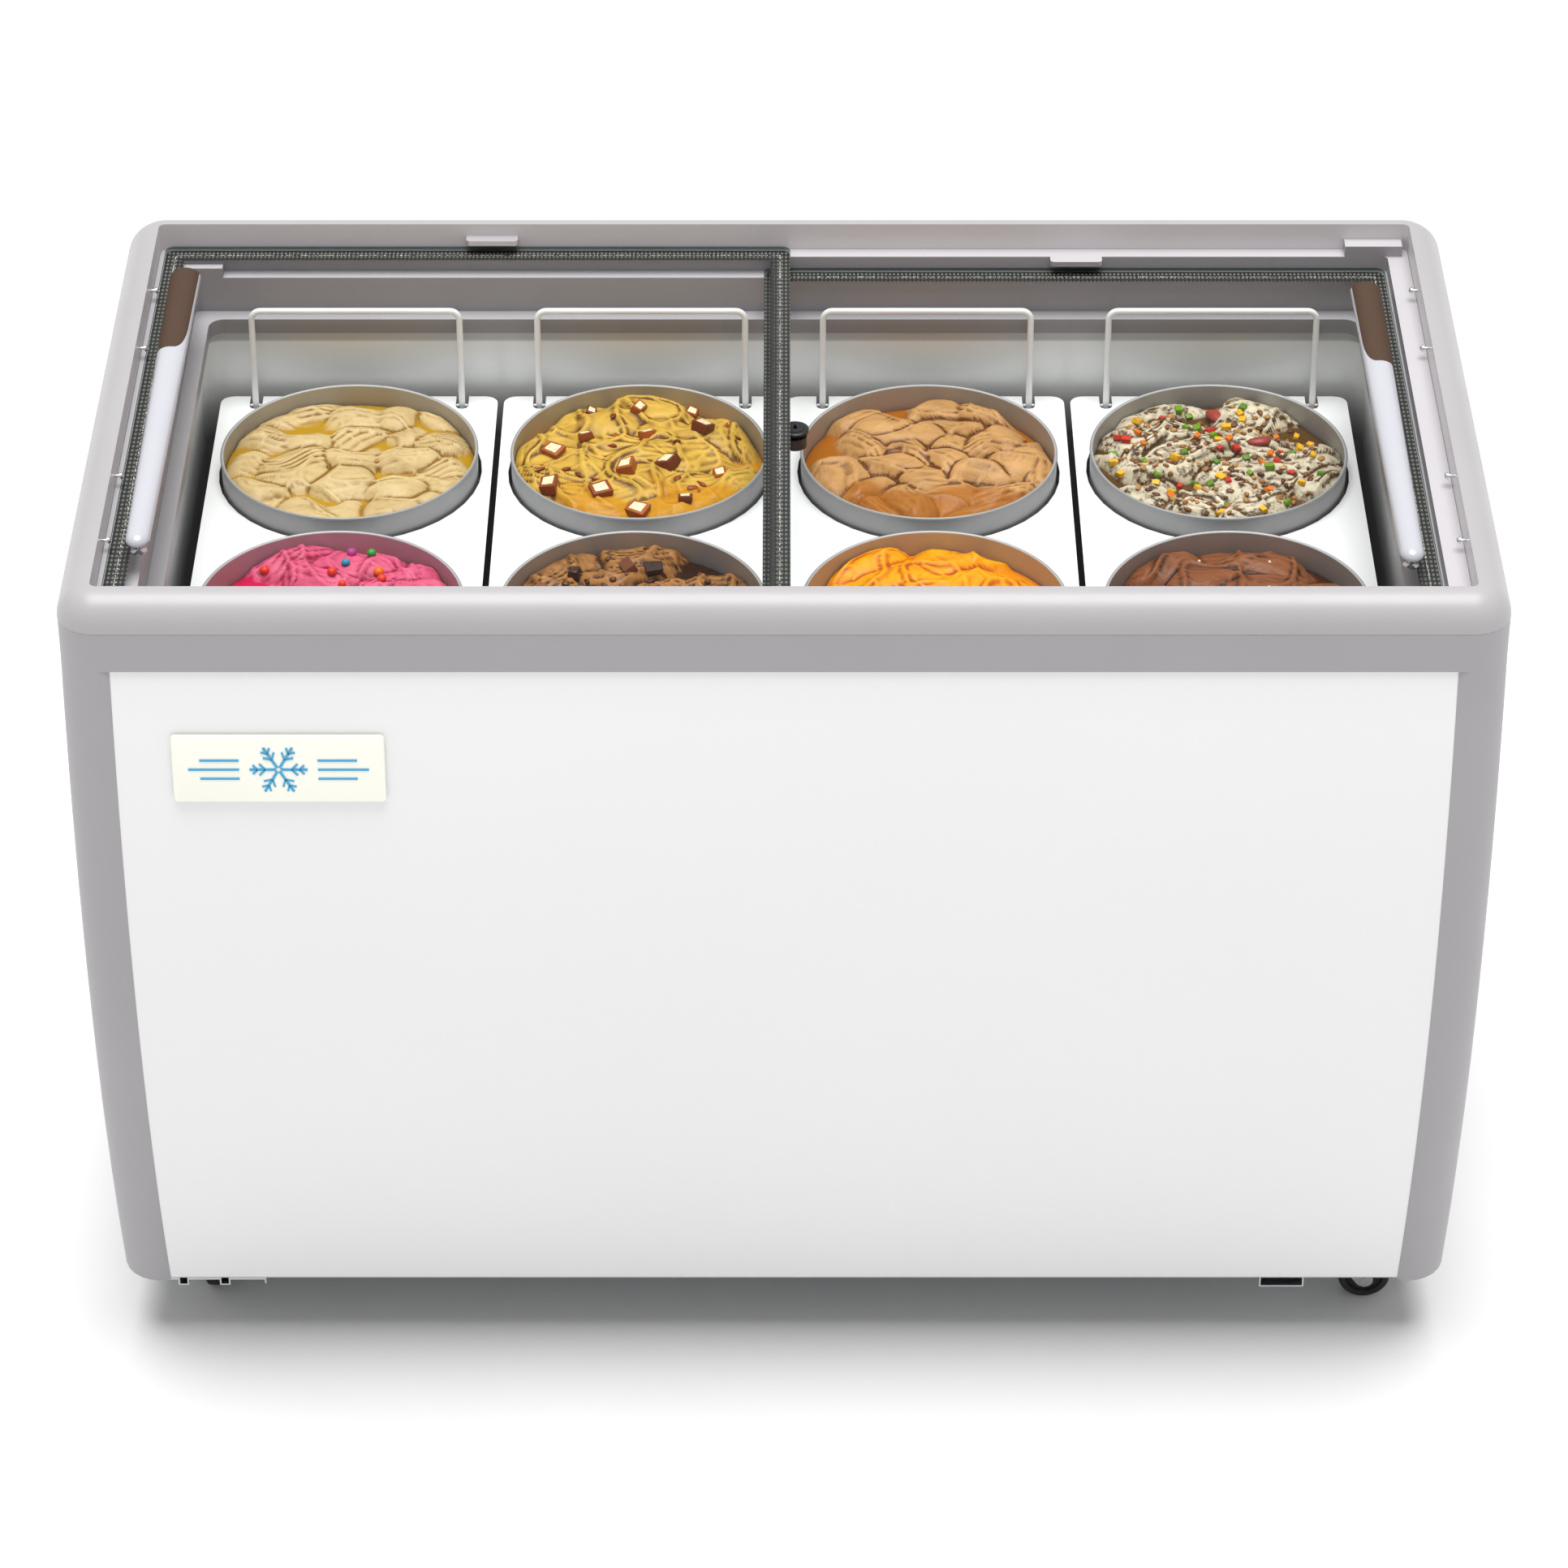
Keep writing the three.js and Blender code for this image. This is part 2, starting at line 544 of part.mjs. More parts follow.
function addCabinet(parent) {
  addPart(parent, "top_rim", topRim(), materials.rim);
  addPart(parent, "track_frame", trackFrame(), materials.frame);
  addPart(parent, "trim_frame", trimFrame(), materials.trim);
  addPart(parent, "front_panel", frontPanel(), materials.white);
  addPart(parent, "side_panel_left", sidePanel(-1), materials.white);
  addPart(parent, "side_panel_right", sidePanel(1), materials.white);
  addPart(parent, "back_panel", backPanel(), materials.white);
  addPart(parent, "base_pan", basePan(), materials.steel);
  addPart(parent, "caster_beam", casterBeam(), materials.steel);
  addPart(parent, "base_rail", baseRail(), materials.steel);
  addPart(parent, "liner", liner(), materials.tank);
  addPart(parent, "insulation", insulation(), materials.foam);
  addPart(parent, "compressor", compressor(), materials.black).position.set(COMPRESSOR.x, COMPRESSOR.y, 0);
  addPart(parent, "condenser", condenser(), materials.steel);
  const fanX = (CONDENSER.x0 + CONDENSER.x1) / 2;
  const fanZ = (BASE_Z + PAN_SHEET + GAP + CONDENSER.z1) / 2;
  addPart(parent, "fan_rotor", fanRotor(), materials.black).position.set(fanX, FAN.y, fanZ);
  addPart(parent, "vent_grille", ventGrille(), materials.trim);
  const dial = addPart(parent, "thermostat_dial", thermostatDial(), materials.white);
  dial.position.set(LENGTH / 2 - DIAL.depth / 2 - 1, DIAL.y, DIAL.z);
  addPart(parent, "power_inlet", powerInlet(), materials.black);
  addPart(parent, "drain_plug", drainPlug(), materials.black).position.set(DRAIN.x, DRAIN.y, FLOOR_Z);
  const slope = Math.asin((BADGE.z - APEX_Z) / BULGE_RADIUS);
  const plate = addPart(parent, "badge", badge(), materials.badge);
  const badgeY = FRONT_Y + TRIM_THICKNESS + frontOffset(BADGE.z) - BADGE.rise - BADGE.sunk;
  plate.position.set(BADGE.x, badgeY, BADGE.z);
  plate.rotation.x = Math.PI / 2 - slope;
}

// ---- lids ----

function glassPane(lid, lockHole) {
  const halfX = (lid.x1 - lid.x0) / 2;
  const pane = block([halfX, lid.halfY], GLASS_CORNER, 0, GLASS, 3);
  const middle = (lid.x0 + lid.x1) / 2;
  return lockHole ? pane.subtract(rodAt(LOCK.x - middle, 0, LOCK.hole, -1, GLASS + 1)) : pane;
}

// a half-round bar that is wider towards the back
function handleBar() {
  const { width, length, taper, thickness, rise, edge, round } = HANDLE;
  const halfX = width / 2 - round;
  const geometry = new THREE.ExtrudeGeometry(roundedRectangle(halfX, length / 2 - round, halfX), {
    depth: edge,
    bevelSize: round,
    bevelThickness: thickness - edge,
    bevelSegments: 4,
    curveSegments: 4,
  });
  const position = geometry.attributes.position;
  for (let i = 0; i < position.count; i += 1) {
    position.setX(i, position.getX(i) * (1 + (taper * position.getY(i)) / (length / 2)));
  }
  const bar = toSolid(geometry.translate(0, 0, rise));
  return bar.intersect(box(-width, width, -length, length, rise, rise + thickness));
}

// the brown piece caps the handle's back end, and leaves its inward edge white
function inlayZone(flip, clearance) {
  const shape = new THREE.Shape();
  const outside = HANDLE.width;
  const widest = (HANDLE.width / 2) * (1 + HANDLE.taper);
  const start = INLAY.y - clearance;
  const near = widest - INLAY.nearInset + clearance;
  const far = widest - INLAY.farInset + clearance;
  shape.moveTo(-outside, start);
  shape.lineTo(INLAY.squareX, start);
  shape.quadraticCurveTo(near - 1, start + 3, near, start + INLAY.curve);
  shape.lineTo(far, HANDLE.length / 2);
  shape.lineTo(far, HANDLE.length);
  shape.lineTo(-outside, HANDLE.length);
  shape.closePath();
  const floor = HANDLE.rise + HANDLE.thickness - INLAY.depth - clearance;
  const options = { depth: 20, bevelEnabled: false, curveSegments: 5 };
  const geometry = new THREE.ExtrudeGeometry(shape, options).translate(0, 0, floor);
  return toSolid(flip > 0 ? geometry : mirrorX(geometry));
}

function handle(flip) {
  const { radius, foot, y } = HANDLE_POST;
  let bar = handleBar().subtract(inlayZone(flip, GAP));
  for (const side of [-1, 1]) {
    bar = bar.add(rodAt(0, side * y, radius, GAP, HANDLE.rise + 1, 12));
    bar = bar.add(rodAt(0, side * y, foot, GAP, 2, 12));
  }
  return bar;
}

function lockBarrel() {
  const { radius, flange, core } = LOCK;
  const seat = GLASS + GAP;
  const bore = core + GAP;
  const section = [[0, -11], [radius, -11], [radius, seat], [flange, seat], [flange, seat + 2.4]];
  section.push([flange - 1, seat + 3], [bore, seat + 3], [bore, -6], [0, -6]);
  return turned(section, 28);
}

function lockCore() {
  const core = rod(LOCK.core, -6 + GAP, GLASS + GAP + 3.3, 24);
  const keySlot = box(-1, 1, -1, 5, 0, 20).add(rod(2.2, 0, 20, 12));
  return core.subtract(keySlot);
}

function addLid(parent, prefix, lid) {
  const group = new THREE.Group();
  group.position.set(0, 0, lid.z);
  parent.add(group);
  const isLower = lid === LOWER_LID;
  const pane = addPart(group, `${prefix}_glass`, glassPane(lid, isLower), materials.glass);
  pane.position.x = (lid.x0 + lid.x1) / 2;
  const grip = new THREE.Group();
  grip.position.set(lid.handleX, 0, GLASS);
  group.add(grip);
  addPart(grip, `${prefix}_handle`, handle(lid.flip), materials.white);
  addPart(grip, `${prefix}_handle_inlay`, handleBar().intersect(inlayZone(lid.flip, 0)), materials.brown);
  if (isLower) {
    addPart(group, "lock_barrel", lockBarrel(), materials.black).position.x = LOCK.x;
    addPart(group, "lock_core", lockCore(), materials.black).position.x = LOCK.x;
  }
}

// ---- tubs and carriers ----

function carrier() {
  const { width, depth, z, sheet, hole, corner } = PLATE;
  let plate = block([width / 2, depth / 2], corner, z - sheet, z, 2);
  const edge = depth / 2;
  for (const side of [-1, 1]) {
    plate = plate.subtract(rodAt(0, side * TUB_Y, hole, z - 10, z + 10, 40));
    const slotEnd = edge - SLOT.depth + SLOT.width / 2;
    const x = side * BAIL.halfWidth;
    plate = plate.subtract(box(x - SLOT.width / 2, x + SLOT.width / 2, slotEnd, edge + 5, z - 5, z + 5));
    plate = plate.subtract(rodAt(x, slotEnd, SLOT.width / 2, z - 5, z + 5, 16));
  }
  const floor = SHELF_Z + GAP;
  const half = STRAP_WIDTH / 2;
  const cradle = box(-half, half, -edge, edge, floor, z - 1);
  const inside = box(-LENGTH, LENGTH, sheet - edge, edge - sheet, floor + sheet, z + 1);
  return plate.add(cradle.subtract(inside));
}

function bail() {
  const { halfWidth, height, wire, corner, foot } = BAIL;
  const bevel = wire * 0.3;
  const core = wire / 2 - bevel;
  const shape = new THREE.Shape();
  const outer = halfWidth + core;
  const inner = halfWidth - core;
  shape.moveTo(-outer, -foot);
  shape.lineTo(-inner, -foot);
  shape.lineTo(-inner, height - corner);
  shape.absarc(-halfWidth + corner, height - corner, corner - core, TAU / 2, TAU / 4, true);
  shape.absarc(halfWidth - corner, height - corner, corner - core, TAU / 4, 0, true);
  shape.lineTo(inner, -foot);
  shape.lineTo(outer, -foot);
  shape.absarc(halfWidth - corner, height - corner, corner + core, 0, TAU / 4);
  shape.absarc(-halfWidth + corner, height - corner, corner + core, TAU / 4, TAU / 2);
  shape.closePath();
  const geometry = new THREE.ExtrudeGeometry(shape, {
    depth: 2 * core,
    bevelSize: bevel,
    bevelThickness: bevel,
    bevelSegments: 1,
    curveSegments: 2,
  });
  geometry.translate(0, 0, -core);
  let wireFrame = toSolid(geometry.rotateX(Math.PI / 2));
  for (const side of [-1, 1]) {
    const pin = new THREE.CylinderGeometry(1.4, 1.4, SLOT.width - 2 * GAP, 10).rotateZ(Math.PI / 2);
    wireFrame = wireFrame.add(toSolid(pin.translate(side * halfWidth, 0, 0)));
  }
  return wireFrame;
}

function tub() {
  const { radius, wall, lipZ, bottomZ } = TUB;
  const inner = radius - 1 - wall;
  const outer = radius - 1;
  const section = [[0, bottomZ], [outer - 5, bottomZ], [outer, bottomZ + 5], [outer, lipZ - 4]];
  section.push([radius, lipZ], [inner, lipZ], [inner, bottomZ + 6]);
  section.push([inner - 5, bottomZ + wall], [0, bottomZ + wall]);
  return turned(section, 44);
}

function iceCream() {
  const radius = TUB.radius - 1 - TUB.wall - 2;
  const floor = TUB.bottomZ + TUB.wall + GAP;
  const section = [[0, floor], [radius - 6, floor], [radius, floor + 7], [radius, CREAM_TOP_Z - 6]];
  section.push([0, CREAM_TOP_Z + 2]);
  return turned(section, 28);
}

function addCarriers(parent) {
  for (let column = 0; column < 4; column += 1) {
    const group = new THREE.Group();
    group.position.x = (column - 1.5) * PITCH_X;
    parent.add(group);
    const label = column + 1;
    addPart(group, `carrier_${label}`, carrier(), materials.white);
    const wire = addPart(group, `bail_${label}`, bail(), materials.steel);
    wire.position.set(0, BAIL.pivotY, PLATE.z - 1);
    wire.rotation.x = THREE.MathUtils.degToRad(-BAIL.lean);
    for (const [row, y] of [["back", TUB_Y], ["front", -TUB_Y]]) {
      addPart(group, `tub_${row}_${label}`, tub(), materials.tub).position.y = y;
      const flavour = paint(FLAVOURS[row][column], 0.6);
      addPart(group, `ice_cream_${row}_${label}`, iceCream(), flavour).position.y = y;
    }
  }
}

// ---- casters ----

function fork() {
  const { trail, axle, legGap, leg } = FORK;
  const { crownZ, neckTopZ } = CASTER;
  const outer = legGap + leg;
  const side = new THREE.Shape();
  side.moveTo(-13, crownZ);
  side.lineTo(trail - 7, WHEEL_Z - 5);
  side.absarc(trail, WHEEL_Z, 8, -TAU * 0.35, TAU * 0.1);
  side.lineTo(trail + 6, crownZ);
  side.closePath();
  const plate = new THREE.ExtrudeGeometry(side, { depth: leg, bevelEnabled: false, curveSegments: 3 });
  plate.rotateX(Math.PI / 2);
  let yoke = toSolid(plate.clone().translate(0, outer, 0)).add(toSolid(plate.translate(0, -legGap, 0)));
  yoke = yoke.add(box(-13, trail + 6, -outer, outer, crownZ - 1, crownZ + 2));
  yoke = yoke.add(rod(16, crownZ + 1, crownZ + 9, 16)).add(rod(10, crownZ + 8, neckTopZ, 16));
  const spindle = new THREE.CylinderGeometry(axle, axle, 2 * outer + 3, 12);
  return yoke.add(toSolid(spindle.translate(trail, 0, WHEEL_Z)));
}

function wheel() {
  const { radius, halfWidth, bore, hub } = WHEEL;
  const section = [[bore, -hub], [13, -hub], [18, -6], [19, -halfWidth], [radius, -halfWidth + 3]];
  section.push([radius, halfWidth - 3], [19, halfWidth], [18, 6], [13, hub], [bore, hub], [bore, -hub]);
  const profile = section.map(([r, z]) => new THREE.Vector2(r, z));
  const half = Math.PI / WHEEL.segments;
  return toSolid(new THREE.LatheGeometry(profile, WHEEL.segments).rotateY(half));
}

function addCasters(parent) {
  for (const [place, signX, signY, yaw] of [
    ["front_left", -1, -1, 90],
    ["front_right", 1, -1, 0],
    ["back_left", -1, 1, 90],
    ["back_right", 1, 1, 0],
  ]) {
    const group = new THREE.Group();
    group.position.set(signX < 0 ? -CASTER.leftX : CASTER.rightX, casterY(signY), 0);
    group.rotation.z = THREE.MathUtils.degToRad(yaw);
    parent.add(group);
    addPart(group, `caster_fork_${place}`, fork(), materials.steel);
    addPart(group, `caster_wheel_${place}`, wheel(), materials.black).position.set(FORK.trail, 0, WHEEL_Z);
  }
}

// ---- assembly ----

const group = new THREE.Group();
const cabinet = new THREE.Group();
cabinet.position.y = BULGE / 2;
group.add(cabinet);
addCabinet(cabinet);
addLid(cabinet, "upper", UPPER_LID);
addLid(cabinet, "lower", LOWER_LID);
addCarriers(cabinet);
addCasters(cabinet);

export default group;
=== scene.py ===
import json
import math
import random

import bmesh
import bpy
import numpy as np
from mathutils import Matrix, Vector


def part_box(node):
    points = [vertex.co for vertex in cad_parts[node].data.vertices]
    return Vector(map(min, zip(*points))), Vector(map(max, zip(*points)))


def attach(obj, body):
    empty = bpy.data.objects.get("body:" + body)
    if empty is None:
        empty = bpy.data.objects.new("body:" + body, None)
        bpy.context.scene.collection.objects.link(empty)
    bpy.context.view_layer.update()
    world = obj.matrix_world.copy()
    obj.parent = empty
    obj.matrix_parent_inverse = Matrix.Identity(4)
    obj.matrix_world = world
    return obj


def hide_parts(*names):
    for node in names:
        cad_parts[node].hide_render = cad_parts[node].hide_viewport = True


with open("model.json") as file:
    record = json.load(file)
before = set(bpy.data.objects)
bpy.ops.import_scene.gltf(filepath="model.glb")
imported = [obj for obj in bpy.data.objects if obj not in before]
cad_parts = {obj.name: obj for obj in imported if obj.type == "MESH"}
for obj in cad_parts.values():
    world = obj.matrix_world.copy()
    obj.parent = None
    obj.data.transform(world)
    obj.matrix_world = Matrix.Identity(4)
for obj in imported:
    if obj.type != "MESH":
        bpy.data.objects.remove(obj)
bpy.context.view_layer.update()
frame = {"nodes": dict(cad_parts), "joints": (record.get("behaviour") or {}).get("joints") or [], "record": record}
NODES = frame["nodes"]
JOINTS = {joint["name"]: joint for joint in frame["joints"]}
SCENE = bpy.context.scene
MM = 0.001
COLUMNS = (1, 2, 3, 4)
TUB_PLACES = [f"{row}_{column}" for row in ("back", "front") for column in COLUMNS]
CASTER_PLACES = ("front_left", "front_right", "back_left", "back_right")


# ---- camera ----

def make_camera():
    """Straight on, well above, with a long lens."""
    data = bpy.data.cameras.new("camera")
    data.sensor_width = 36
    data.lens = 122.83
    camera = bpy.data.objects.new("camera", data)
    camera.location = (0, -4.132, 3.353)
    camera.rotation_euler = (math.radians(54.9), 0, 0)
    SCENE.collection.objects.link(camera)
    SCENE.camera = camera


make_camera()


# ---- material tools ----

def srgb(code):
    """A colour code such as 'a0b0c0' as linear RGBA."""
    channels = [int(code[i:i + 2], 16) / 255 for i in (0, 2, 4)]
    linear = [c / 12.92 if c <= 0.04045 else ((c + 0.055) / 1.055) ** 2.4 for c in channels]
    return (*linear, 1)


class Nodes:
    """A material's node tree, with short calls for the nodes that repeat."""

    def __init__(self, name):
        self.material = bpy.data.materials.new(name)
        self.material.use_nodes = True
        self.tree = self.material.node_tree
        self.shader = self.tree.nodes["Principled BSDF"]
        self.output = self.tree.nodes["Material Output"]

    def add(self, kind, settings=None, **inputs):
        node = self.tree.nodes.new(kind)
        for key, value in (settings or {}).items():
            setattr(node, key, value)
        for key, value in inputs.items():
            self.plug(node, key.replace("_", " "), value)
        return node

    def plug(self, node, socket, value):
        target = node.inputs[int(socket)] if socket.isdigit() else node.inputs[socket]
        if isinstance(value, bpy.types.NodeSocket):
            self.tree.links.new(value, target)
        else:
            target.default_value = value

    def set(self, **inputs):
        for key, value in inputs.items():
            self.plug(self.shader, key.replace("_", " "), value)

    def coordinates(self, stretch=(1, 1, 1)):
        source = self.add("ShaderNodeTexCoord").outputs["Object"]
        return self.add("ShaderNodeMapping", Vector=source, Scale=stretch).outputs[0]

    def noise(self, scale, detail=4.0, roughness=0.5, stretch=(1, 1, 1)):
        inputs = {"Vector": self.coordinates(stretch), "Scale": scale, "Detail": detail}
        return self.add("ShaderNodeTexNoise", Roughness=roughness, **inputs).outputs["Fac"]

    def ordered(self, kind, settings, *values):
        """The outputs of a node whose first inputs get these values, in order."""
        node = self.add(kind, settings)
        for number, value in enumerate(values):
            self.plug(node, str(number), value)
        return node.outputs

    def remap(self, value, low, high, start=0.0, end=1.0):
        return self.ordered("ShaderNodeMapRange", None, value, start, end, low, high)[0]

    def mix(self, factor, first, second):
        node = self.add("ShaderNodeMix", {"data_type": "RGBA"})
        self.plug(node, "0", factor)
        self.plug(node, "6", first)
        self.plug(node, "7", second)
        return node.outputs[2]

    def math(self, operation, first, second=0.0):
        return self.ordered("ShaderNodeMath", {"operation": operation}, first, second)[0]

    def attribute(self, name, output="Fac"):
        return self.add("ShaderNodeAttribute", {"attribute_name": name}).outputs[output]

    def split(self, vector):
        return self.add("ShaderNodeSeparateXYZ", Vector=vector).outputs

    def mottled(self, colour, share, scale, detail, start, end):
        """A colour that darkens to a share of itself in soft patches."""
        tone = self.remap(self.noise(scale, detail), 0.0, 1.0, start, end)
        return self.mix(tone, darker(colour, share), colour)

    def gloss(self, scale, detail, low, high, start=0.0, end=1.0):
        """A roughness between two values, in soft patches."""
        self.set(Roughness=self.remap(self.noise(scale, detail), low, high, start, end))

    def shaded(self, share, colour):
        """A colour times a share that changes from place to place."""
        return self.mix(share, BLACK, colour)

    def bump(self, height, strength, distance):
        node = self.add("ShaderNodeBump", Height=height, Strength=strength, Distance=distance)
        self.plug(self.shader, "Normal", node.outputs[0])


BLACK = (0, 0, 0, 1)


def darker(colour, share):
    return (*[channel * share for channel in colour[:3]], 1)


def moulded_plastic(name, colour, roughness=0.42, grain=1400.0, depth=0.05):
    """Moulded plastic: a fine spark-eroded grain, and slow changes in tone and gloss."""
    nodes = Nodes(name)
    nodes.set(Base_Color=nodes.mottled(colour, 0.965, 6, 3, 0.35, 0.65))
    nodes.gloss(22, 5, roughness - 0.05, roughness + 0.07)
    nodes.bump(nodes.noise(grain, 2), 0.35, depth * MM)
    return nodes.material


def rim_plastic(name, colour, inward_painted_tone, low_shade=1.0):
    """Moulded plastic whose walls that face the middle take a second tone, which stands in for how light falls on
    them, and painted shade lower down.
    """
    nodes = Nodes(name)
    normal = nodes.add("ShaderNodeNewGeometry").outputs["Normal"]
    outward = nodes.coordinates((1, 1, 0))
    facing = nodes.ordered("ShaderNodeVectorMath", {"operation": "DOT_PRODUCT"}, normal, outward)["Value"]
    # The walls that face the middle take the second tone: painted light on the rim, painted shade on the frame.
    inner = nodes.remap(facing, 1.0, 0.0, -0.25, -0.05)
    tone = nodes.remap(nodes.noise(6, 3), 0.0, 1.0, 0.35, 0.65)
    base = nodes.mix(inner, colour, inward_painted_tone)
    height = nodes.split(nodes.coordinates())["Z"]
    # Painted shade: below about 0.785 m the tone drops to the share that low_shade gives.
    depth = nodes.remap(height, low_shade, 1.0, 0.785, 0.8)
    shade = nodes.math("MULTIPLY", depth, nodes.remap(tone, 0.965, 1.0))
    nodes.set(Base_Color=nodes.shaded(shade, base))
    nodes.gloss(22, 5, 0.31, 0.43)
    nodes.bump(nodes.noise(900, 2), 0.35, 0.03 * MM)
    return nodes.material


def plate_sheet(name, top, shade_below):
    """The carriers' sheet: white enamel above, and painted shade, near black, on its cut edges and underside."""
    nodes = Nodes(name)
    normal = nodes.add("ShaderNodeNewGeometry").outputs["Normal"]
    upward = nodes.split(normal)["Z"]
    enamel = nodes.mottled(top, 0.97, 2.5, 4, 0.1, 0.9)
    # Painted shade: faces that point sideways and down turn near black.
    nodes.set(Base_Color=nodes.mix(nodes.remap(upward, 0.0, 1.0, 0.3, 0.7), shade_below, enamel))
    nodes.gloss(9, 4, 0.28, 0.4, 0.1, 0.9)
    nodes.bump(nodes.noise(420, 2), 0.1, 0.05 * MM)
    return nodes.material


def tank_sheet(name, colour):
    """The tank's smooth sheet, with painted shade in a band at its lip and below the level of the plates."""
    nodes = Nodes(name)
    height = nodes.split(nodes.coordinates())["Z"]
    # Painted shade below the level of the plates.
    depth = nodes.remap(height, 0.1, 1.0, 0.66, 0.708)
    # Painted shade in a band at the lip.
    lip = nodes.remap(height, 1.0, 0.55, 0.761, 0.764)
    tone = nodes.remap(nodes.noise(4, 4), 0.94, 1.0, 0.2, 0.8)
    shade = nodes.math("MULTIPLY", nodes.math("MULTIPLY", depth, lip), tone)
    nodes.set(Base_Color=nodes.mix(shade, darker(colour, 0.04), colour))
    nodes.gloss(12, 5, 0.14, 0.28, 0.2, 0.8)
    nodes.bump(nodes.noise(420, 2), 0.08, 0.05 * MM)
    return nodes.material


def glazed_plastic(name, colour):
    """Glossy white plastic with a clear top layer, a faint cloudiness and streaks across its gloss."""
    nodes = Nodes(name)
    nodes.set(Base_Color=nodes.mottled(colour, 0.97, 14, 4, 0.2, 0.8), Coat_Weight=0.8, Coat_Roughness=0.05)
    nodes.set(Roughness=nodes.remap(nodes.noise(300, 3, 0.5, (1, 0.03, 1)), 0.12, 0.26, 0.2, 0.8))
    nodes.bump(nodes.noise(60, 2), 0.05, 0.1 * MM)
    return nodes.material


def painted_sheet(name, colour, roughness=0.3):
    """Powder-coated sheet: orange peel, and a faint unevenness in tone and gloss."""
    nodes = Nodes(name)
    nodes.set(Base_Color=nodes.mottled(colour, 0.97, 2.5, 4, 0.1, 0.9))
    nodes.gloss(9, 4, roughness - 0.04, roughness + 0.08, 0.1, 0.9)
    nodes.bump(nodes.noise(420, 2), 0.1, 0.05 * MM)
    return nodes.material


def bare_metal(name, colour, roughness=0.32, stretch=(1, 1, 0.04), metallic=1.0):
    """Rolled or drawn metal: fine lines along one direction, with cloudy patches in the gloss."""
    nodes = Nodes(name)
    lines = nodes.noise(900, 3, 0.6, stretch)
    clouds = nodes.noise(18, 4)
    nodes.set(Base_Color=nodes.mix(clouds, darker(colour, 0.82), colour), Metallic=metallic)
    nodes.set(Roughness=nodes.remap(lines, roughness - 0.08, roughness + 0.12, 0.3, 0.7))
    nodes.bump(lines, 0.18, 0.05 * MM)
    return nodes.material


def tub_steel(name, outside, inside):
    """A tub's brushed, frosted sheet, with painted light making it paler inside, where the `inner` attribute says
    so.
    """
    nodes = Nodes(name)
    lines = nodes.noise(700, 3, 0.6, (1, 1, 0.05))
    clouds = nodes.remap(nodes.noise(18, 4), 0.84, 1.0)
    # Painted light: the inside takes the paler colour.
    colour = nodes.mix(nodes.attribute("inner"), outside, inside)
    nodes.set(Base_Color=nodes.shaded(clouds, colour), Metallic=0.2)
    nodes.set(Roughness=nodes.remap(lines, 0.38, 0.58, 0.3, 0.7))
    nodes.bump(lines, 0.18, 0.05 * MM)
    return nodes.material


def rubber(name, colour):
    """Tyre rubber: matt, with dust in the pores."""
    nodes = Nodes(name)
    dust = nodes.remap(nodes.noise(240, 6, 0.7), 0.0, 0.35, 0.5, 0.75)
    nodes.set(Base_Color=nodes.mix(dust, colour, srgb("5a5856")))
    nodes.set(Roughness=nodes.remap(dust, 0.55, 0.85, 0.0, 0.35))
    nodes.bump(nodes.noise(900, 4), 0.3, 0.1 * MM)
    return nodes.material


def lid_glass(name):
    """Thin float glass: clear face, mirror-like at a grazing angle, greenish at its cut edges."""
    nodes = Nodes(name)
    nodes.tree.nodes.remove(nodes.shader)
    geometry = nodes.add("ShaderNodeNewGeometry").outputs
    entering = nodes.math("SUBTRACT", 1.0, geometry["Backfacing"])
    upward = nodes.split(geometry["Normal"])["Z"]
    face = nodes.remap(nodes.math("ABSOLUTE", upward), 0.0, 1.0, 0.4, 0.8)
    smears = nodes.remap(nodes.noise(9, 6, 0.65, (1, 0.35, 1)), 0.0, 0.03, 0.5, 0.8)
    tint = nodes.mix(face, srgb("8f9c98"), (0.97, 0.975, 0.973, 1))
    clear = nodes.add("ShaderNodeBsdfTransparent", Color=tint)
    gloss = nodes.add("ShaderNodeBsdfGlossy", Roughness=nodes.math("ADD", smears, 0.01))
    fresnel = nodes.add("ShaderNodeFresnel", IOR=1.45).outputs[0]
    share = nodes.math("MULTIPLY", fresnel, nodes.math("MULTIPLY", entering, 0.3))
    glass = nodes.ordered("ShaderNodeMixShader", None, share, clear.outputs[0], gloss.outputs[0])
    nodes.plug(nodes.output, "Surface", glass[0])
    return nodes.material


def printed_border(name):
    """The dark woven print round a lid: pale dots on near-black ink, open towards the inner edge."""
    nodes = Nodes(name)
    pitch_x, pitch_y = 3.8 * MM, 7.0 * MM
    place = nodes.split(nodes.coordinates((1 / pitch_x, 1 / pitch_y, 1)))
    weave = []
    for sign in ("ADD", "SUBTRACT"):
        diagonal = nodes.math(sign, place["X"], place["Y"])
        weave.append(nodes.math("SINE", nodes.math("MULTIPLY", diagonal, math.pi)))
    product = nodes.math("MULTIPLY", weave[0], weave[1])
    dot = nodes.remap(product, 0.0, 1.0, 0.15, 0.55)
    nodes.set(Roughness=0.6)
    inward = nodes.attribute("inward")
    middle = nodes.math("ABSOLUTE", nodes.math("SUBTRACT", inward, 0.5))
    glints = nodes.math("GREATER_THAN", nodes.noise(900, 2), 0.56)
    line = nodes.math("MULTIPLY", nodes.math("LESS_THAN", middle, 0.035), glints)
    nodes.set(Base_Color=nodes.mix(line, nodes.mix(dot, srgb("080808"), srgb("6c6c64")), srgb("e8e8e0")))
    between_dots = nodes.math("MULTIPLY", product, 0.9)
    open_share = nodes.math("ADD", nodes.remap(inward, -1.0, 0.3), between_dots)
    nodes.set(Alpha=nodes.math("LESS_THAN", open_share, 0.55))
    nodes.bump(dot, 0.2, 0.05 * MM)
    return nodes.material


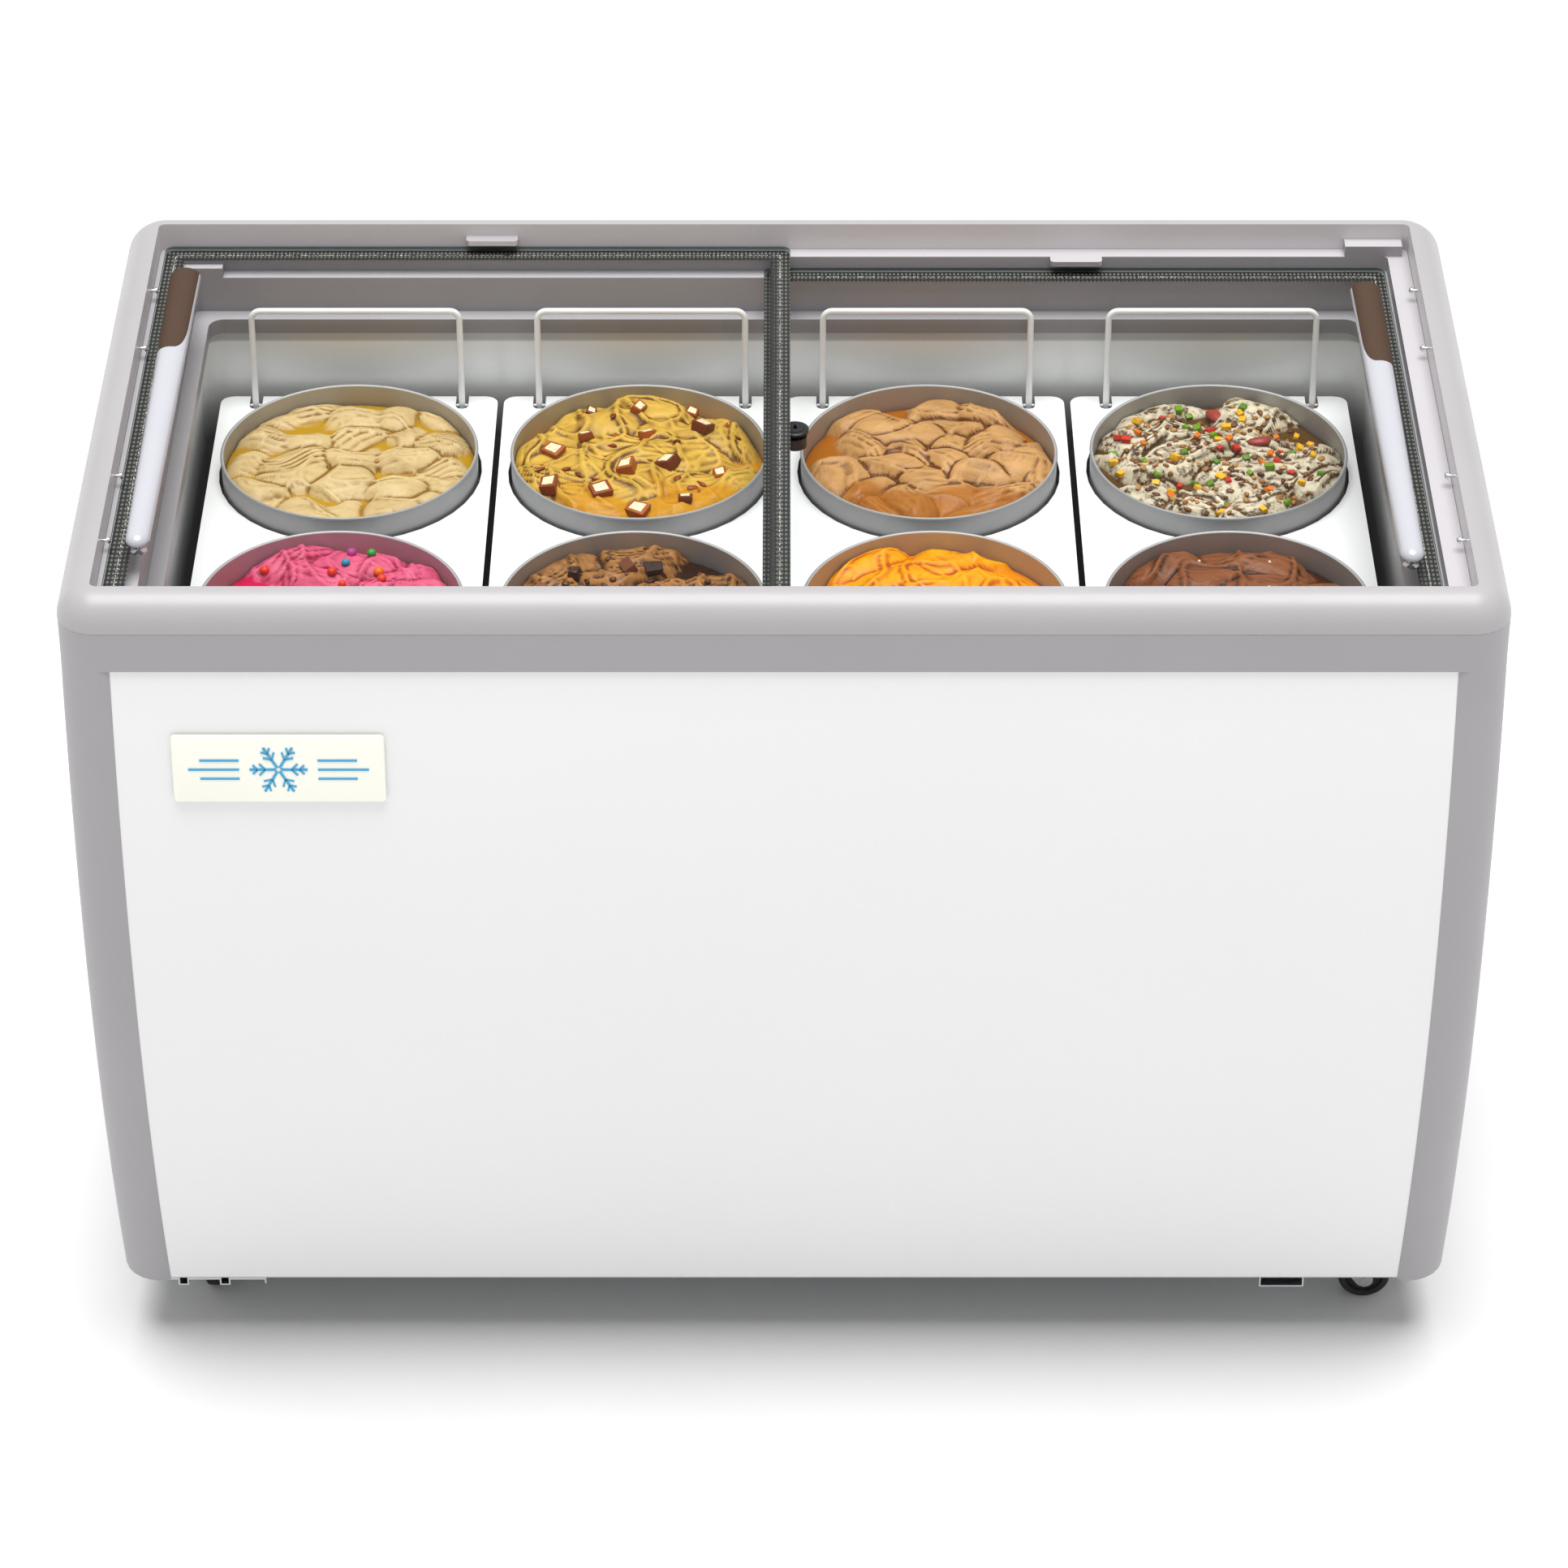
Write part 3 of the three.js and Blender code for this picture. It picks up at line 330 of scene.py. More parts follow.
def ice_cream_material(name, light, shade_and_crumb_colour, ripple, crumb):
    """Churned ice cream: painted shade in the hollows and a painted highlight on the crests, dark crumbs, syrup
    where it pools, and an icy grain.
    """
    nodes = Nodes(name)
    swirl = nodes.remap(nodes.noise(30, 6, 0.62, (1, 2.2, 1)), 0.0, 0.35, 0.35, 0.7)
    # Painted shade in the hollows, varied by swirls; crumbs take the same dark colour.
    hollow_shade = nodes.math("ADD", nodes.attribute("hollow_shade"), swirl)
    crumbs = nodes.remap(nodes.noise(95, 6, 0.7), 0.0, crumb, 0.5, 0.62)
    body = nodes.mix(nodes.math("ADD", hollow_shade, crumbs), light, shade_and_crumb_colour)
    syrup = nodes.attribute("syrup")
    nodes.set(Base_Color=nodes.mix(syrup, body, ripple))
    nodes.set(Roughness=nodes.remap(syrup, 0.3, 0.15))
    nodes.set(Subsurface_Weight=0.06, Subsurface_Scale=0.006, Specular_IOR_Level=0.2)
    nodes.shader.inputs["Subsurface Radius"].default_value = (1.0, 0.6, 0.4)
    grain = nodes.math("ADD", nodes.noise(130, 7, 0.62), nodes.math("MULTIPLY", nodes.noise(700, 3), 0.25))
    nodes.bump(grain, 0.6, 1.6 * MM)
    return nodes.material


def topping_material(name):
    """Sweets, nuts and fruit: each bit has its own tint, with mottling."""
    nodes = Nodes(name)
    tint = nodes.attribute("tint", "Color")
    mottle = nodes.remap(nodes.noise(350, 4), 0.0, 0.45, 0.45, 0.75)
    nodes.set(Base_Color=nodes.mix(mottle, tint, (0.12, 0.05, 0.02, 1)))
    nodes.gloss(200, 3, 0.22, 0.5)
    nodes.set(Specular_IOR_Level=0.3)
    nodes.bump(nodes.noise(500, 4), 0.35, 0.2 * MM)
    return nodes.material


def floor_material():
    nodes = Nodes("studio_floor")
    tone = nodes.remap(nodes.noise(1.5, 3), 0.0, 1.0, 0.4, 0.6)
    nodes.set(Base_Color=nodes.mix(tone, (0.72, 0.72, 0.72, 1), (0.74, 0.74, 0.74, 1)), Roughness=0.9)
    nodes.shader.inputs["Specular IOR Level"].default_value = 0.0
    return nodes.material


LOOKS = {
    # Second tone: painted light on the rim's walls that face the middle.
    "rim_plastic": (rim_plastic, srgb("a4a1a3"), srgb("cdc9cb")),
    "trim_plastic": (moulded_plastic, srgb("9d9a9d"), 0.45),
    # Second tone and 0.72: painted shade on the frame's walls that face the middle, and lower down.
    "frame_plastic": (rim_plastic, srgb("b8b5b8"), srgb("999699"), 0.72),
    "white_sheet": (painted_sheet, srgb("e6e6e6")),
    "tank_sheet": (tank_sheet, srgb("f4f5f3")),
    "foam": (moulded_plastic, srgb("e3cf94"), 0.9, 220, 0.8),
    "zinc_steel": (bare_metal, srgb("c3c6c8"), 0.36, (1, 0.05, 1)),
    "zinc_wire": (bare_metal, srgb("f6f6f5"), 0.3, (1, 1, 0.2), 0.0),
    "compressor_paint": (painted_sheet, srgb("1d1e20"), 0.34),
    "fin_aluminium": (bare_metal, srgb("ced0d3"), 0.38, (0.1, 1, 1)),
    "black_plastic": (moulded_plastic, srgb("1c1c1e"), 0.5),
    "black_rubber": (rubber, srgb("19191a")),
    "badge_plastic": (moulded_plastic, srgb("f4f3e8"), 0.3, 700, 0.02),
    "dial_plastic": (moulded_plastic, srgb("dcdcdc"), 0.35),
    "lid_glass": (lid_glass,),
    "handle_white": (glazed_plastic, srgb("b7b7be")),
    "handle_brown": (moulded_plastic, srgb("3f260f"), 0.6, 500, 0.06),
    "lock_black": (bare_metal, srgb("232426"), 0.35, (1, 1, 1), 0.4),
    # Second tone: painted light inside the tubs.
    "tub_steel": (tub_steel, srgb("9f9f9f"), srgb("c6c6c6")),
    "caster_tyre": (rubber, srgb("161617")),
    "chrome": (bare_metal, srgb("dedfe0"), 0.14, (1, 1, 1)),
    # Second tone: painted shade on the plates' edges and undersides.
    "plate_sheet": (plate_sheet, srgb("f6f6f6"), srgb("202020")),
    "printed_border": (printed_border,),
    "topping": (topping_material,),
    "emblem_blue": (moulded_plastic, srgb("3f9fcb"), 0.3, 700, 0.02),
}
MATERIALS = {name: make(name, *settings) for name, (make, *settings) in LOOKS.items()}


# ---- mesh tools ----

ON_AXIS = 1e-7  # a radius in metres that counts as none
SHARP_ABOVE = 35  # degrees between two faces


def smooth(obj, degrees=SHARP_ABOVE):
    obj.data.shade_smooth()
    obj.data.set_sharp_from_angle(angle=math.radians(degrees))


def build(name, vertices, faces, material, degrees=SHARP_ABOVE):
    """A new object from points in metres, with its faces turned outwards."""
    mesh = bpy.data.meshes.new(name)
    mesh.from_pydata([tuple(v) for v in vertices], [], faces)
    work = bmesh.new()
    work.from_mesh(mesh)
    bmesh.ops.remove_doubles(work, verts=work.verts, dist=1e-6)
    bmesh.ops.recalc_face_normals(work, faces=work.faces)
    work.to_mesh(mesh)
    work.free()
    mesh.materials.append(material)
    obj = bpy.data.objects.new(name, mesh)
    SCENE.collection.objects.link(obj)
    smooth(obj, degrees)
    return obj


def finish_piece(obj, body, slot, *replaced):
    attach(obj, body)
    if replaced:
        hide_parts(*replaced)


def measured(node):
    """A CAD node's lowest and highest corners, and its centre."""
    low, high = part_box(node)
    return low, high, (low + high) / 2


def set_values(obj, name, values):
    """One number for each point, for the material to read by its name."""
    layer = obj.data.attributes.new(name, "FLOAT", "POINT")
    layer.data.foreach_set("value", np.array(values, np.float32))


def turned_parts(profile, segments, place):
    """Points and faces of a section of (radius, height) pairs turned about Z of its place."""
    vertices, rings = [], []
    for radius, height in profile:
        if radius < ON_AXIS:
            rings.append([len(vertices)] * segments)
            vertices.append(place @ Vector((0, 0, height)))
            continue
        rings.append(list(range(len(vertices), len(vertices) + segments)))
        for i in range(segments):
            angle = 2 * math.pi * i / segments
            vertices.append(place @ Vector((radius * math.cos(angle), radius * math.sin(angle), height)))
    faces = []
    closed = profile[0][0] > ON_AXIS
    for k in range(len(rings) if closed else len(rings) - 1):
        low, high = rings[k], rings[(k + 1) % len(rings)]
        for i in range(segments):
            corners = [low[i], low[(i + 1) % segments], high[(i + 1) % segments], high[i]]
            face = [v for j, v in enumerate(corners) if v != corners[j - 1]]
            if len(face) > 2:
                faces.append(face)
    return vertices, faces


def merge(parts):
    """Several (points, faces) pairs as one."""
    vertices, faces = [], []
    for more_vertices, more_faces in parts:
        start = len(vertices)
        vertices.extend(more_vertices)
        faces.extend([[i + start for i in face] for face in more_faces])
    return vertices, faces


def add_piece(name, parts, material, body, slot, *replaced):
    """Several (points, faces) pairs as one finished piece."""
    finish_piece(build(name, *merge(parts), MATERIALS[material]), body, slot, *replaced)


def arc(centre, radius, start, end, steps):
    """Points on an arc, as (x, y) pairs, with its angles in degrees."""
    points = []
    for i in range(steps + 1):
        angle = math.radians(start + (end - start) * i / steps)
        points.append((centre[0] + radius * math.cos(angle), centre[1] + radius * math.sin(angle)))
    return points


def wire_parts(path, radius):
    """A round wire along points in one plane, with closed ends."""
    sides, outlines = 14, []
    across = (path[-1] - path[0]).cross(path[len(path) // 2] - path[0]).normalized()
    turns = [2 * math.pi * k / sides for k in range(sides)]
    for i, point in enumerate(path):
        before, after = path[max(i - 1, 0)], path[min(i + 1, len(path) - 1)]
        side = (after - before).normalized().cross(across).normalized()
        outlines.append([point + radius * (math.cos(a) * side + math.sin(a) * across) for a in turns])
    return stacked_parts(outlines)


def stadium(half_width, half_length):
    """The outline of a bar with round ends, along Y."""
    reach, steps = half_length - half_width, 16
    return arc((0, reach), half_width, 0, 180, steps) + arc((0, -reach), half_width, 180, 360, steps)


def rounded_rectangle(half_x, half_y, radius):
    points, steps = [], 8
    for sign_x, sign_y, start in ((1, 1, 0), (-1, 1, 90), (-1, -1, 180), (1, -1, 270)):
        centre = (sign_x * (half_x - radius), sign_y * (half_y - radius))
        points += arc(centre, radius, start, start + 90, steps)
    return points


def stacked_parts(outlines, closed=False):
    """A skin through outlines of [(x, y, z)], with flat ends, or closed on itself."""
    count = len(outlines[0])
    vertices = [Vector(p) for outline in outlines for p in outline]
    faces = []
    for k in range(len(outlines) if closed else len(outlines) - 1):
        low, high = k * count, ((k + 1) % len(outlines)) * count
        for i in range(count):
            j = (i + 1) % count
            faces.append([low + i, low + j, high + j, high + i])
    if not closed:
        faces.append(list(range(count)))
        faces.append(list(range((len(outlines) - 1) * count, len(outlines) * count)))
    return vertices, faces


def keep_inside(obj, other):
    """Keeps what lies inside another object, and removes that object."""
    modifier = obj.modifiers.new("inside", "BOOLEAN")
    modifier.operation = "INTERSECT"
    modifier.object = other
    modifier.solver = "EXACT"
    bpy.context.view_layer.update()
    evaluated = obj.evaluated_get(bpy.context.evaluated_depsgraph_get())
    result = bpy.data.meshes.new_from_object(evaluated)
    obj.modifiers.clear()
    obj.data = result
    bpy.data.objects.remove(other)
    smooth(obj)


# ---- CAD nodes that stay ----

def shading_by_angle(degrees):
    """A node group that shades a mesh smooth, but keeps its edges above an angle sharp."""
    group = bpy.data.node_groups.new("shading_by_angle", "GeometryNodeTree")
    for way in ("INPUT", "OUTPUT"):
        group.interface.new_socket("Geometry", in_out=way, socket_type="NodeSocketGeometry")
    entry, leave = group.nodes.new("NodeGroupInput"), group.nodes.new("NodeGroupOutput")
    angle = group.nodes.new("GeometryNodeInputMeshEdgeAngle")
    gentle = group.nodes.new("FunctionNodeCompare")
    gentle.operation = "LESS_THAN"
    gentle.inputs[1].default_value = math.radians(degrees)
    faces = group.nodes.new("GeometryNodeSetShadeSmooth")
    edges = group.nodes.new("GeometryNodeSetShadeSmooth")
    edges.domain = "EDGE"
    group.links.new(angle.outputs["Unsigned Angle"], gentle.inputs[0])
    group.links.new(entry.outputs[0], faces.inputs["Geometry"])
    group.links.new(faces.outputs[0], edges.inputs["Geometry"])
    group.links.new(gentle.outputs[0], edges.inputs["Shade Smooth"])
    group.links.new(edges.outputs[0], leave.inputs[0])
    return group


def finish_cad_nodes():
    """Each CAD node gets its slot's material, welded corners, and smooth shading on its curves.

    The creams have no material here, because add_ice_cream() replaces their nodes.
    """
    slots = {part["node"]: part["material_slot"] for part in frame["record"]["subparts"]}
    shading = shading_by_angle(32)
    for name, node in NODES.items():
        material = MATERIALS.get("plate_sheet" if name.startswith("carrier_") else slots[name])
        if material is not None:
            node.data.materials.clear()
            node.data.materials.append(material)
        weld = node.modifiers.new("weld", "WELD")
        weld.merge_threshold = 0.01 * MM
        node.modifiers.new("shading", "NODES").node_group = shading


# ---- tubs ----

def add_tub(place):
    """A spun steel tub with a rolled lip."""
    node = f"tub_{place}"
    low, high, centre = measured(node)
    wall, bead, foot = 1.1 * MM, 1.5 * MM, 6 * MM
    body = (high.x - low.x) / 2 - bead
    profile = [(0, low.z), (body - foot, low.z)]
    profile += arc((body - foot, low.z + foot), foot, -90, 0, 5)[1:]
    profile += arc((body, high.z - bead), bead, -60, 215, 12)
    inner = body - wall
    profile += arc((inner - foot, low.z + foot + wall), foot, 0, -90, 5)
    profile += [(0, low.z + wall)]
    vertices, faces = turned_parts(profile, 128, Matrix.Translation((centre.x, centre.y, 0)))
    tub = build(f"tub_shell_{place}", vertices, faces, MATERIALS["tub_steel"])
    middle = body - wall / 2
    reach = [math.hypot(v.co.x - centre.x, v.co.y - centre.y) for v in tub.data.vertices]
    set_values(tub, "inner", [r < middle for r in reach])
    finish_piece(tub, node, "tub_steel", node)


# ---- ice cream ----

ANY_ANGLE = (0, 6.28)
GOLDEN_ANGLE = 2.39996
STROKE_REACH = 0.108  # metres from the middle of a tub to the outermost strokes
WARP = 3.5 * MM  # how far the strokes' edges wander
CREST, WRINKLE = 3.0, 0.9  # heights of the large and the small folds, in mm
BLEND = 1500  # how sharply two strokes meet, per metre
CORE_SHARES = (0.68, 0.68, 1.12)  # a sweet's filling against the sweet, which it shows through at the top
FIRST_SEED, TOPPING_SEEDS = 11, 100


def ripple_field(rng, wavelength):
    """A smooth random surface of about one unit's height, whose features are a wavelength apart."""
    parts, waves = [], 11
    for _ in range(waves):
        heading = rng.uniform(0, 2 * math.pi)
        number = 2 * math.pi / (wavelength * rng.uniform(0.75, 1.35))
        parts.append((number * math.cos(heading), number * math.sin(heading), rng.uniform(*ANY_ANGLE)))
    share = math.sqrt(2 / waves)
    return lambda x, y: share * sum(np.cos(a * x + b * y + phase) for a, b, phase in parts)


class Churned:
    """A churned surface: overlapping strokes of a spatula, with folds, ridges and pools.

    Lengths are in millimetres and angles in degrees. The glaze covers all that lies in front of its Y.
    """

    def __init__(self, seed, strokes, rise, length, width, heading=15, spread=40,
                 folds=1.3, tilt=0.3, rows=False, pool=-4, glaze=None):
        rng = random.Random(seed)
        self.pool = pool * MM
        self.glaze = glaze
        self.folds = folds
        self.warps = [ripple_field(rng, 0.06), ripple_field(rng, 0.06)]
        self.fold = ripple_field(rng, 0.062)
        self.wrinkle = ripple_field(rng, 0.027)
        self.strokes = []
        side = math.ceil(math.sqrt(strokes))
        for i in range(strokes):
            if rows:
                x = ((i % side) + 0.5) / side * 2 - 1 + rng.uniform(-0.05, 0.05)
                y = ((i // side) + 0.5) / side * 2 - 1 + rng.uniform(-0.05, 0.05)
            else:
                turn = i * GOLDEN_ANGLE + rng.uniform(-0.3, 0.3)
                reach = math.sqrt((i + 0.5) / strokes)
                x, y = reach * math.cos(turn), reach * math.sin(turn)
            self.strokes.append(dict(
                x=x * STROKE_REACH,
                y=y * STROKE_REACH,
                angle=math.radians(heading + rng.uniform(-spread, spread)),
                length=length * MM * rng.uniform(0.8, 1.25),
                width=width * MM * rng.uniform(0.8, 1.2),
                rise=rise * MM * rng.uniform(0.7, 1.25),
                level=rng.uniform(-2.2, 2.2) * MM,
                curl=rng.uniform(-11, 11),
                tilt=rng.choice((-1, 1)) * rng.uniform(0.3, 1.0) * tilt,
                comb=rng.choice((0, 0, 0.2, 0.45)) * MM,
                phase=rng.uniform(*ANY_ANGLE),
                pitch=rng.uniform(650, 950),
            ))

    def relief(self, x, y):
        """Height above the mean level at each point, before the pools fill its hollows."""
        warp_x = x + WARP * self.warps[0](x, y)
        warp_y = y + WARP * self.warps[1](x, y)
        layers = []
        for s in self.strokes:
            cos, sin = math.cos(s["angle"]), math.sin(s["angle"])
            u = (warp_x - s["x"]) * cos + (warp_y - s["y"]) * sin
            v = (warp_y - s["y"]) * cos - (warp_x - s["x"]) * sin + s["curl"] * u * u
            reach = (u / s["length"]) ** 2 + (v / s["width"]) ** 2
            dome = s["rise"] * (1 - 0.55 * reach - 0.45 * reach ** 2)
            comb = s["comb"] * np.sin(s["pitch"] * v + 2.2 * np.sin(60 * u + s["phase"]))
            layers.append(s["level"] + dome + s["tilt"] * v + comb)
        stack = np.sort(np.stack(layers), axis=0)
        top, second = stack[-1], stack[-2]
        height = top + np.log1p(np.exp(-BLEND * (top - second))) / BLEND
        crest = 1 - np.abs(np.tanh(2.2 * self.fold(warp_x, warp_y)))
        wrinkle = 1 - np.abs(np.tanh(1.6 * self.wrinkle(warp_x, warp_y)))
        return height + self.folds * MM * (CREST * crest + WRINKLE * wrinkle)

    def heights(self, x, y):
        """Height above the mean level, the share of painted shade in hollows and low places (less on crests, a
        painted highlight), and how much syrup, at each point.
        """
        height = self.relief(x, y)
        step = 3.2 * MM
        around = [self.relief(x + i * step, y + j * step) for i, j in ((1, 0), (-1, 0), (0, 1), (0, -1))]
        cavity = (sum(around) / 4 - height) / (0.7 * MM)
        low_share = np.clip((3 * MM - height) / (11 * MM), 0, 1)
        syrup = 1 / (1 + np.exp(-(self.pool - height) / (0.6 * MM)))
        if self.glaze is not None:
            front = (self.glaze * MM - y + 9 * MM * self.warps[0](y, x)) / (3 * MM)
            syrup = np.maximum(syrup, 0.8 / (1 + np.exp(-front)))
        # Painted shade in hollows and low places, and a painted highlight where a crest stands above its
        # neighbours.
        hollow_shade = np.clip(cavity, 0, 1) + 0.35 * low_share - 0.25 * np.clip(-cavity, 0, 1)
        return np.maximum(height, self.pool - 0.6 * MM), np.clip(hollow_shade, 0, 1), syrup


def surface_grid(centre, radius, level, surface):
    """The churned top as a closed body: a polar grid with a skirt down into the tub."""
    rings, spokes, skirt = 82, 224, 0.03
    xs, ys = [0.0], [0.0]
    for ring in range(1, rings + 1):
        reach = radius * (ring / rings) ** 0.85
        for spoke in range(spokes):
            angle = 2 * math.pi * (spoke + 0.5 * (ring % 2)) / spokes
            xs.append(reach * math.cos(angle))
            ys.append(reach * math.sin(angle))
    x, y = np.array(xs), np.array(ys)
    height, hollow_shade, syrup = surface.heights(x, y)
    edge = np.clip((np.hypot(x, y) / radius - 0.88) / 0.12, 0, 1)
    height = height * (1 - 0.35 * edge) - 4.5 * MM * edge ** 1.8
    tops = np.stack([centre.x + x, centre.y + y, level + height], axis=1)
    vertices = [tuple(p) for p in tops]
    vertices += [(px, py, level - skirt) for px, py, _ in vertices[-spokes:]]
    faces = [[0, 1 + i, 1 + (i + 1) % spokes] for i in range(spokes)]
    for ring in range(rings):
        start = 1 + ring * spokes
        for i in range(spokes):
            j = (i + 1) % spokes
            faces.append([start + i, start + spokes + i, start + spokes + j, start + j])
    faces.append(list(range(len(vertices) - spokes, len(vertices))))
    pad = np.zeros(spokes)
    return vertices, faces, np.concatenate([hollow_shade, pad]), np.concatenate([syrup, pad])


def bit_parts(centre, size, rng, rough, boxy):
    """One sweet, nut or dice of fruit: a lumpy, turned and squashed little solid."""
    work = bmesh.new()
    if boxy:
        bmesh.ops.create_cube(work, size=1.6)
        bmesh.ops.bevel(work, geom=work.edges[:], offset=0.14, segments=2, affect="EDGES", profile=0.6)
    else:
        bmesh.ops.create_icosphere(work, subdivisions=2, radius=1)
    turn = Matrix.Rotation(rng.uniform(*ANY_ANGLE), 4, "Z") @ Matrix.Rotation(rng.uniform(-0.5, 0.5), 4, "X")
    lump = [rng.uniform(*ANY_ANGLE) for _ in range(3)]
    vertices = []
    for vertex in work.verts:
        p = vertex.co
        waves = [math.sin(pitch * c + phase) for pitch, c, phase in zip((3, 3.4, 2.7), p, lump)]
        swell = 1 + rough * sum(waves)
        vertices.append(turn @ Vector([c * side * swell for c, side in zip(p, size)]) + centre)
    faces = [[v.index for v in face.verts] for face in work.faces]
    work.free()
    return vertices, faces


def scattered(rng, count, gap, taken):
    """Spots inside a tub that keep a gap from the ones already taken."""
    spots, tries, spread = [], 30, 0.1
    for _ in range(count * tries):
        reach, turn = spread * math.sqrt(rng.random()), rng.uniform(*ANY_ANGLE)
        spot = (reach * math.cos(turn), reach * math.sin(turn))
        if all(math.dist(spot, other) > (gap + size) / 2 for other, size in taken):
            taken.append((spot, gap))
            spots.append(spot)
        if len(spots) == count:
            break
    return spots


def add_toppings(place, centre, level, surface, bits, seed):
    """The sweets, nuts or fruit on one tub, as one piece that rides with the tub."""
    rng = random.Random(seed)
    parts, tints, taken = [], [], []
    for bit in bits:
        gap = (bit["size"][0] + bit["size"][1]) * MM * bit.get("spacing", 1.0)
        for x, y in scattered(rng, bit["count"], gap, taken):
            height = float(surface.heights(np.array([x]), np.array([y]))[0][0])
            scale = rng.uniform(0.7, 1.1)
            size = [side * scale * MM for side in bit["size"]]
            spot = Vector((centre.x + x, centre.y + y, level + height + size[2] * bit.get("lift", 0.25)))
            colour = rng.choice(bit["colours"])
            state = rng.getstate()
            solids = [(size, colour)]
            if "core" in bit:
                core = [side * share for side, share in zip(size, CORE_SHARES)]
                solids.append((core, bit["core"]))
            for dimensions, tint in solids:
                rng.setstate(state)
                piece = bit_parts(spot, dimensions, rng, bit.get("rough", 0.1), bit.get("boxy", False))
                parts.append(piece)
                tints += [tint] * len(piece[0])
    vertices, faces = merge(parts)
    toppings = build(f"toppings_{place}", vertices, faces, MATERIALS["topping"], 50)
    layer = toppings.data.color_attributes.new("tint", "FLOAT_COLOR", "POINT")
    layer.data.foreach_set("color", np.array(tints, np.float32).ravel())
    finish_piece(toppings, f"tub_{place}", f"ice_{FLAVOURS[place]['name']}")


def palette(*codes):
    return [srgb(code) for code in codes]


SWEETS = palette("e23a28", "1f8fb0", "2f9a3f", "f0b92a", "ef6f1a", "b0408f", "e8a0b8")
NUTS = palette("7c4f24", "9a672f", "5c3518", "b58548")
FRUIT = palette("e07414", "6f9a1c", "eab326", "c4321f", "5a8a2a")
CHOCOLATE = palette("351a0d", "54301a", "28130a", "6b3a22")
CARAMEL = palette("8a3d04", "a35008", "6c2c02")

# Each flavour's colours: the cream, the painted shade of its hollows (also its crumbs), and its syrup.
FLAVOURS = {
    "back_1": dict(
        name="vanilla", colours=("d2b884", "80590e", "ae8410"),
        surface=dict(strokes=25, rise=9, length=31, width=25, heading=10, spread=25, folds=0.7, rows=True,
                     pool=1.5)),
    "back_2": dict(
        name="caramel", colours=("d6ac46", "623c0a", "c68708"),
        surface=dict(strokes=15, rise=10, length=50, width=28, heading=10, spread=35, pool=-5, glaze=-58),
        bits=[dict(count=14, size=(11.5, 9, 6), colours=CARAMEL, core=srgb("f0dfb8"), boxy=True, rough=0.08,
                   spacing=1.9),
              dict(count=16, size=(5, 2.6, 2.2), colours=CARAMEL, rough=0.2)]),
    "back_3": dict(
        name="peach", colours=("c8985e", "603405", "a05c08"),
        surface=dict(strokes=27, rise=11, length=33, width=22, heading=160, spread=60, folds=0.8, tilt=0.42,
                     glaze=-52)),
    "back_4": dict(
        name="candied_fruit", colours=("ddd0b4", "4a3112", "573c18"), crumb=0.85,
        surface=dict(strokes=15, rise=9, length=46, width=24, spread=30, pool=-2.5),
        bits=[dict(count=2, size=(13, 6, 4), colours=palette("9a3b32"), spacing=1.5),
              dict(count=60, size=(5.2, 3.8, 3.0), colours=FRUIT, boxy=True, rough=0.05, lift=0.45),
              dict(count=170, size=(3.6, 2.7, 1.9), colours=NUTS, rough=0.16, spacing=0.8)]),
    "front_1": dict(
        name="pink", colours=("dc5f82", "8e1238", "c00c46"),
        surface=dict(strokes=17, rise=10, length=46, width=24, folds=1.2),
        bits=[dict(count=60, size=(4.6, 4.6, 4), colours=SWEETS, rough=0.02, lift=0.6)]),
    "front_2": dict(
        name="chocolate_nut", colours=("aa7640", "3c1e0a", "2c1406"), crumb=0.35,
        surface=dict(strokes=17, rise=10, length=42, width=24, heading=20, spread=45),
        bits=[dict(count=18, size=(11, 8, 6), colours=CHOCOLATE + NUTS[:1], boxy=True, rough=0.12),
              dict(count=60, size=(4.0, 2.8, 2.2), colours=CHOCOLATE + NUTS, rough=0.16)]),
    "front_3": dict(
        name="mango", colours=("f2a400", "b04c00", "d88000"),
        surface=dict(strokes=15, rise=11, length=46, width=28, heading=10, pool=-3)),
    "front_4": dict(
        name="milk_chocolate", colours=("8c532f", "36190a", "3a1b0a"),
        surface=dict(strokes=16, rise=10, length=48, width=26, folds=1.2),
        bits=[dict(count=14, size=(3, 2.2, 1.2), colours=palette("d9c9b8"))]),
}


def add_ice_cream(place, seed):
    flavour = FLAVOURS[place]
    node = f"ice_cream_{place}"
    _, high, centre = measured(node)
    tub_low, tub_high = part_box(f"tub_{place}")
    radius = (tub_high.x - tub_low.x) / 2 - 3.4 * MM
    level = high.z - 2 * MM
    surface = Churned(seed, **flavour["surface"])
    vertices, faces, hollow_shade, syrup = surface_grid(centre, radius, level, surface)
    slot = f"ice_{flavour['name']}"
    light, shade_and_crumb_colour, ripple = palette(*flavour["colours"])
    material = ice_cream_material(slot, light, shade_and_crumb_colour, ripple, flavour.get("crumb", 0.0))
    cream = build(f"ice_cream_top_{place}", vertices, faces, material, 75)
    set_values(cream, "hollow_shade", hollow_shade)
    set_values(cream, "syrup", syrup)
    finish_piece(cream, f"tub_{place}", slot, node)
    if "bits" in flavour:
        add_toppings(place, centre, level, surface, flavour["bits"], seed + TOPPING_SEEDS)


# ---- bails ----

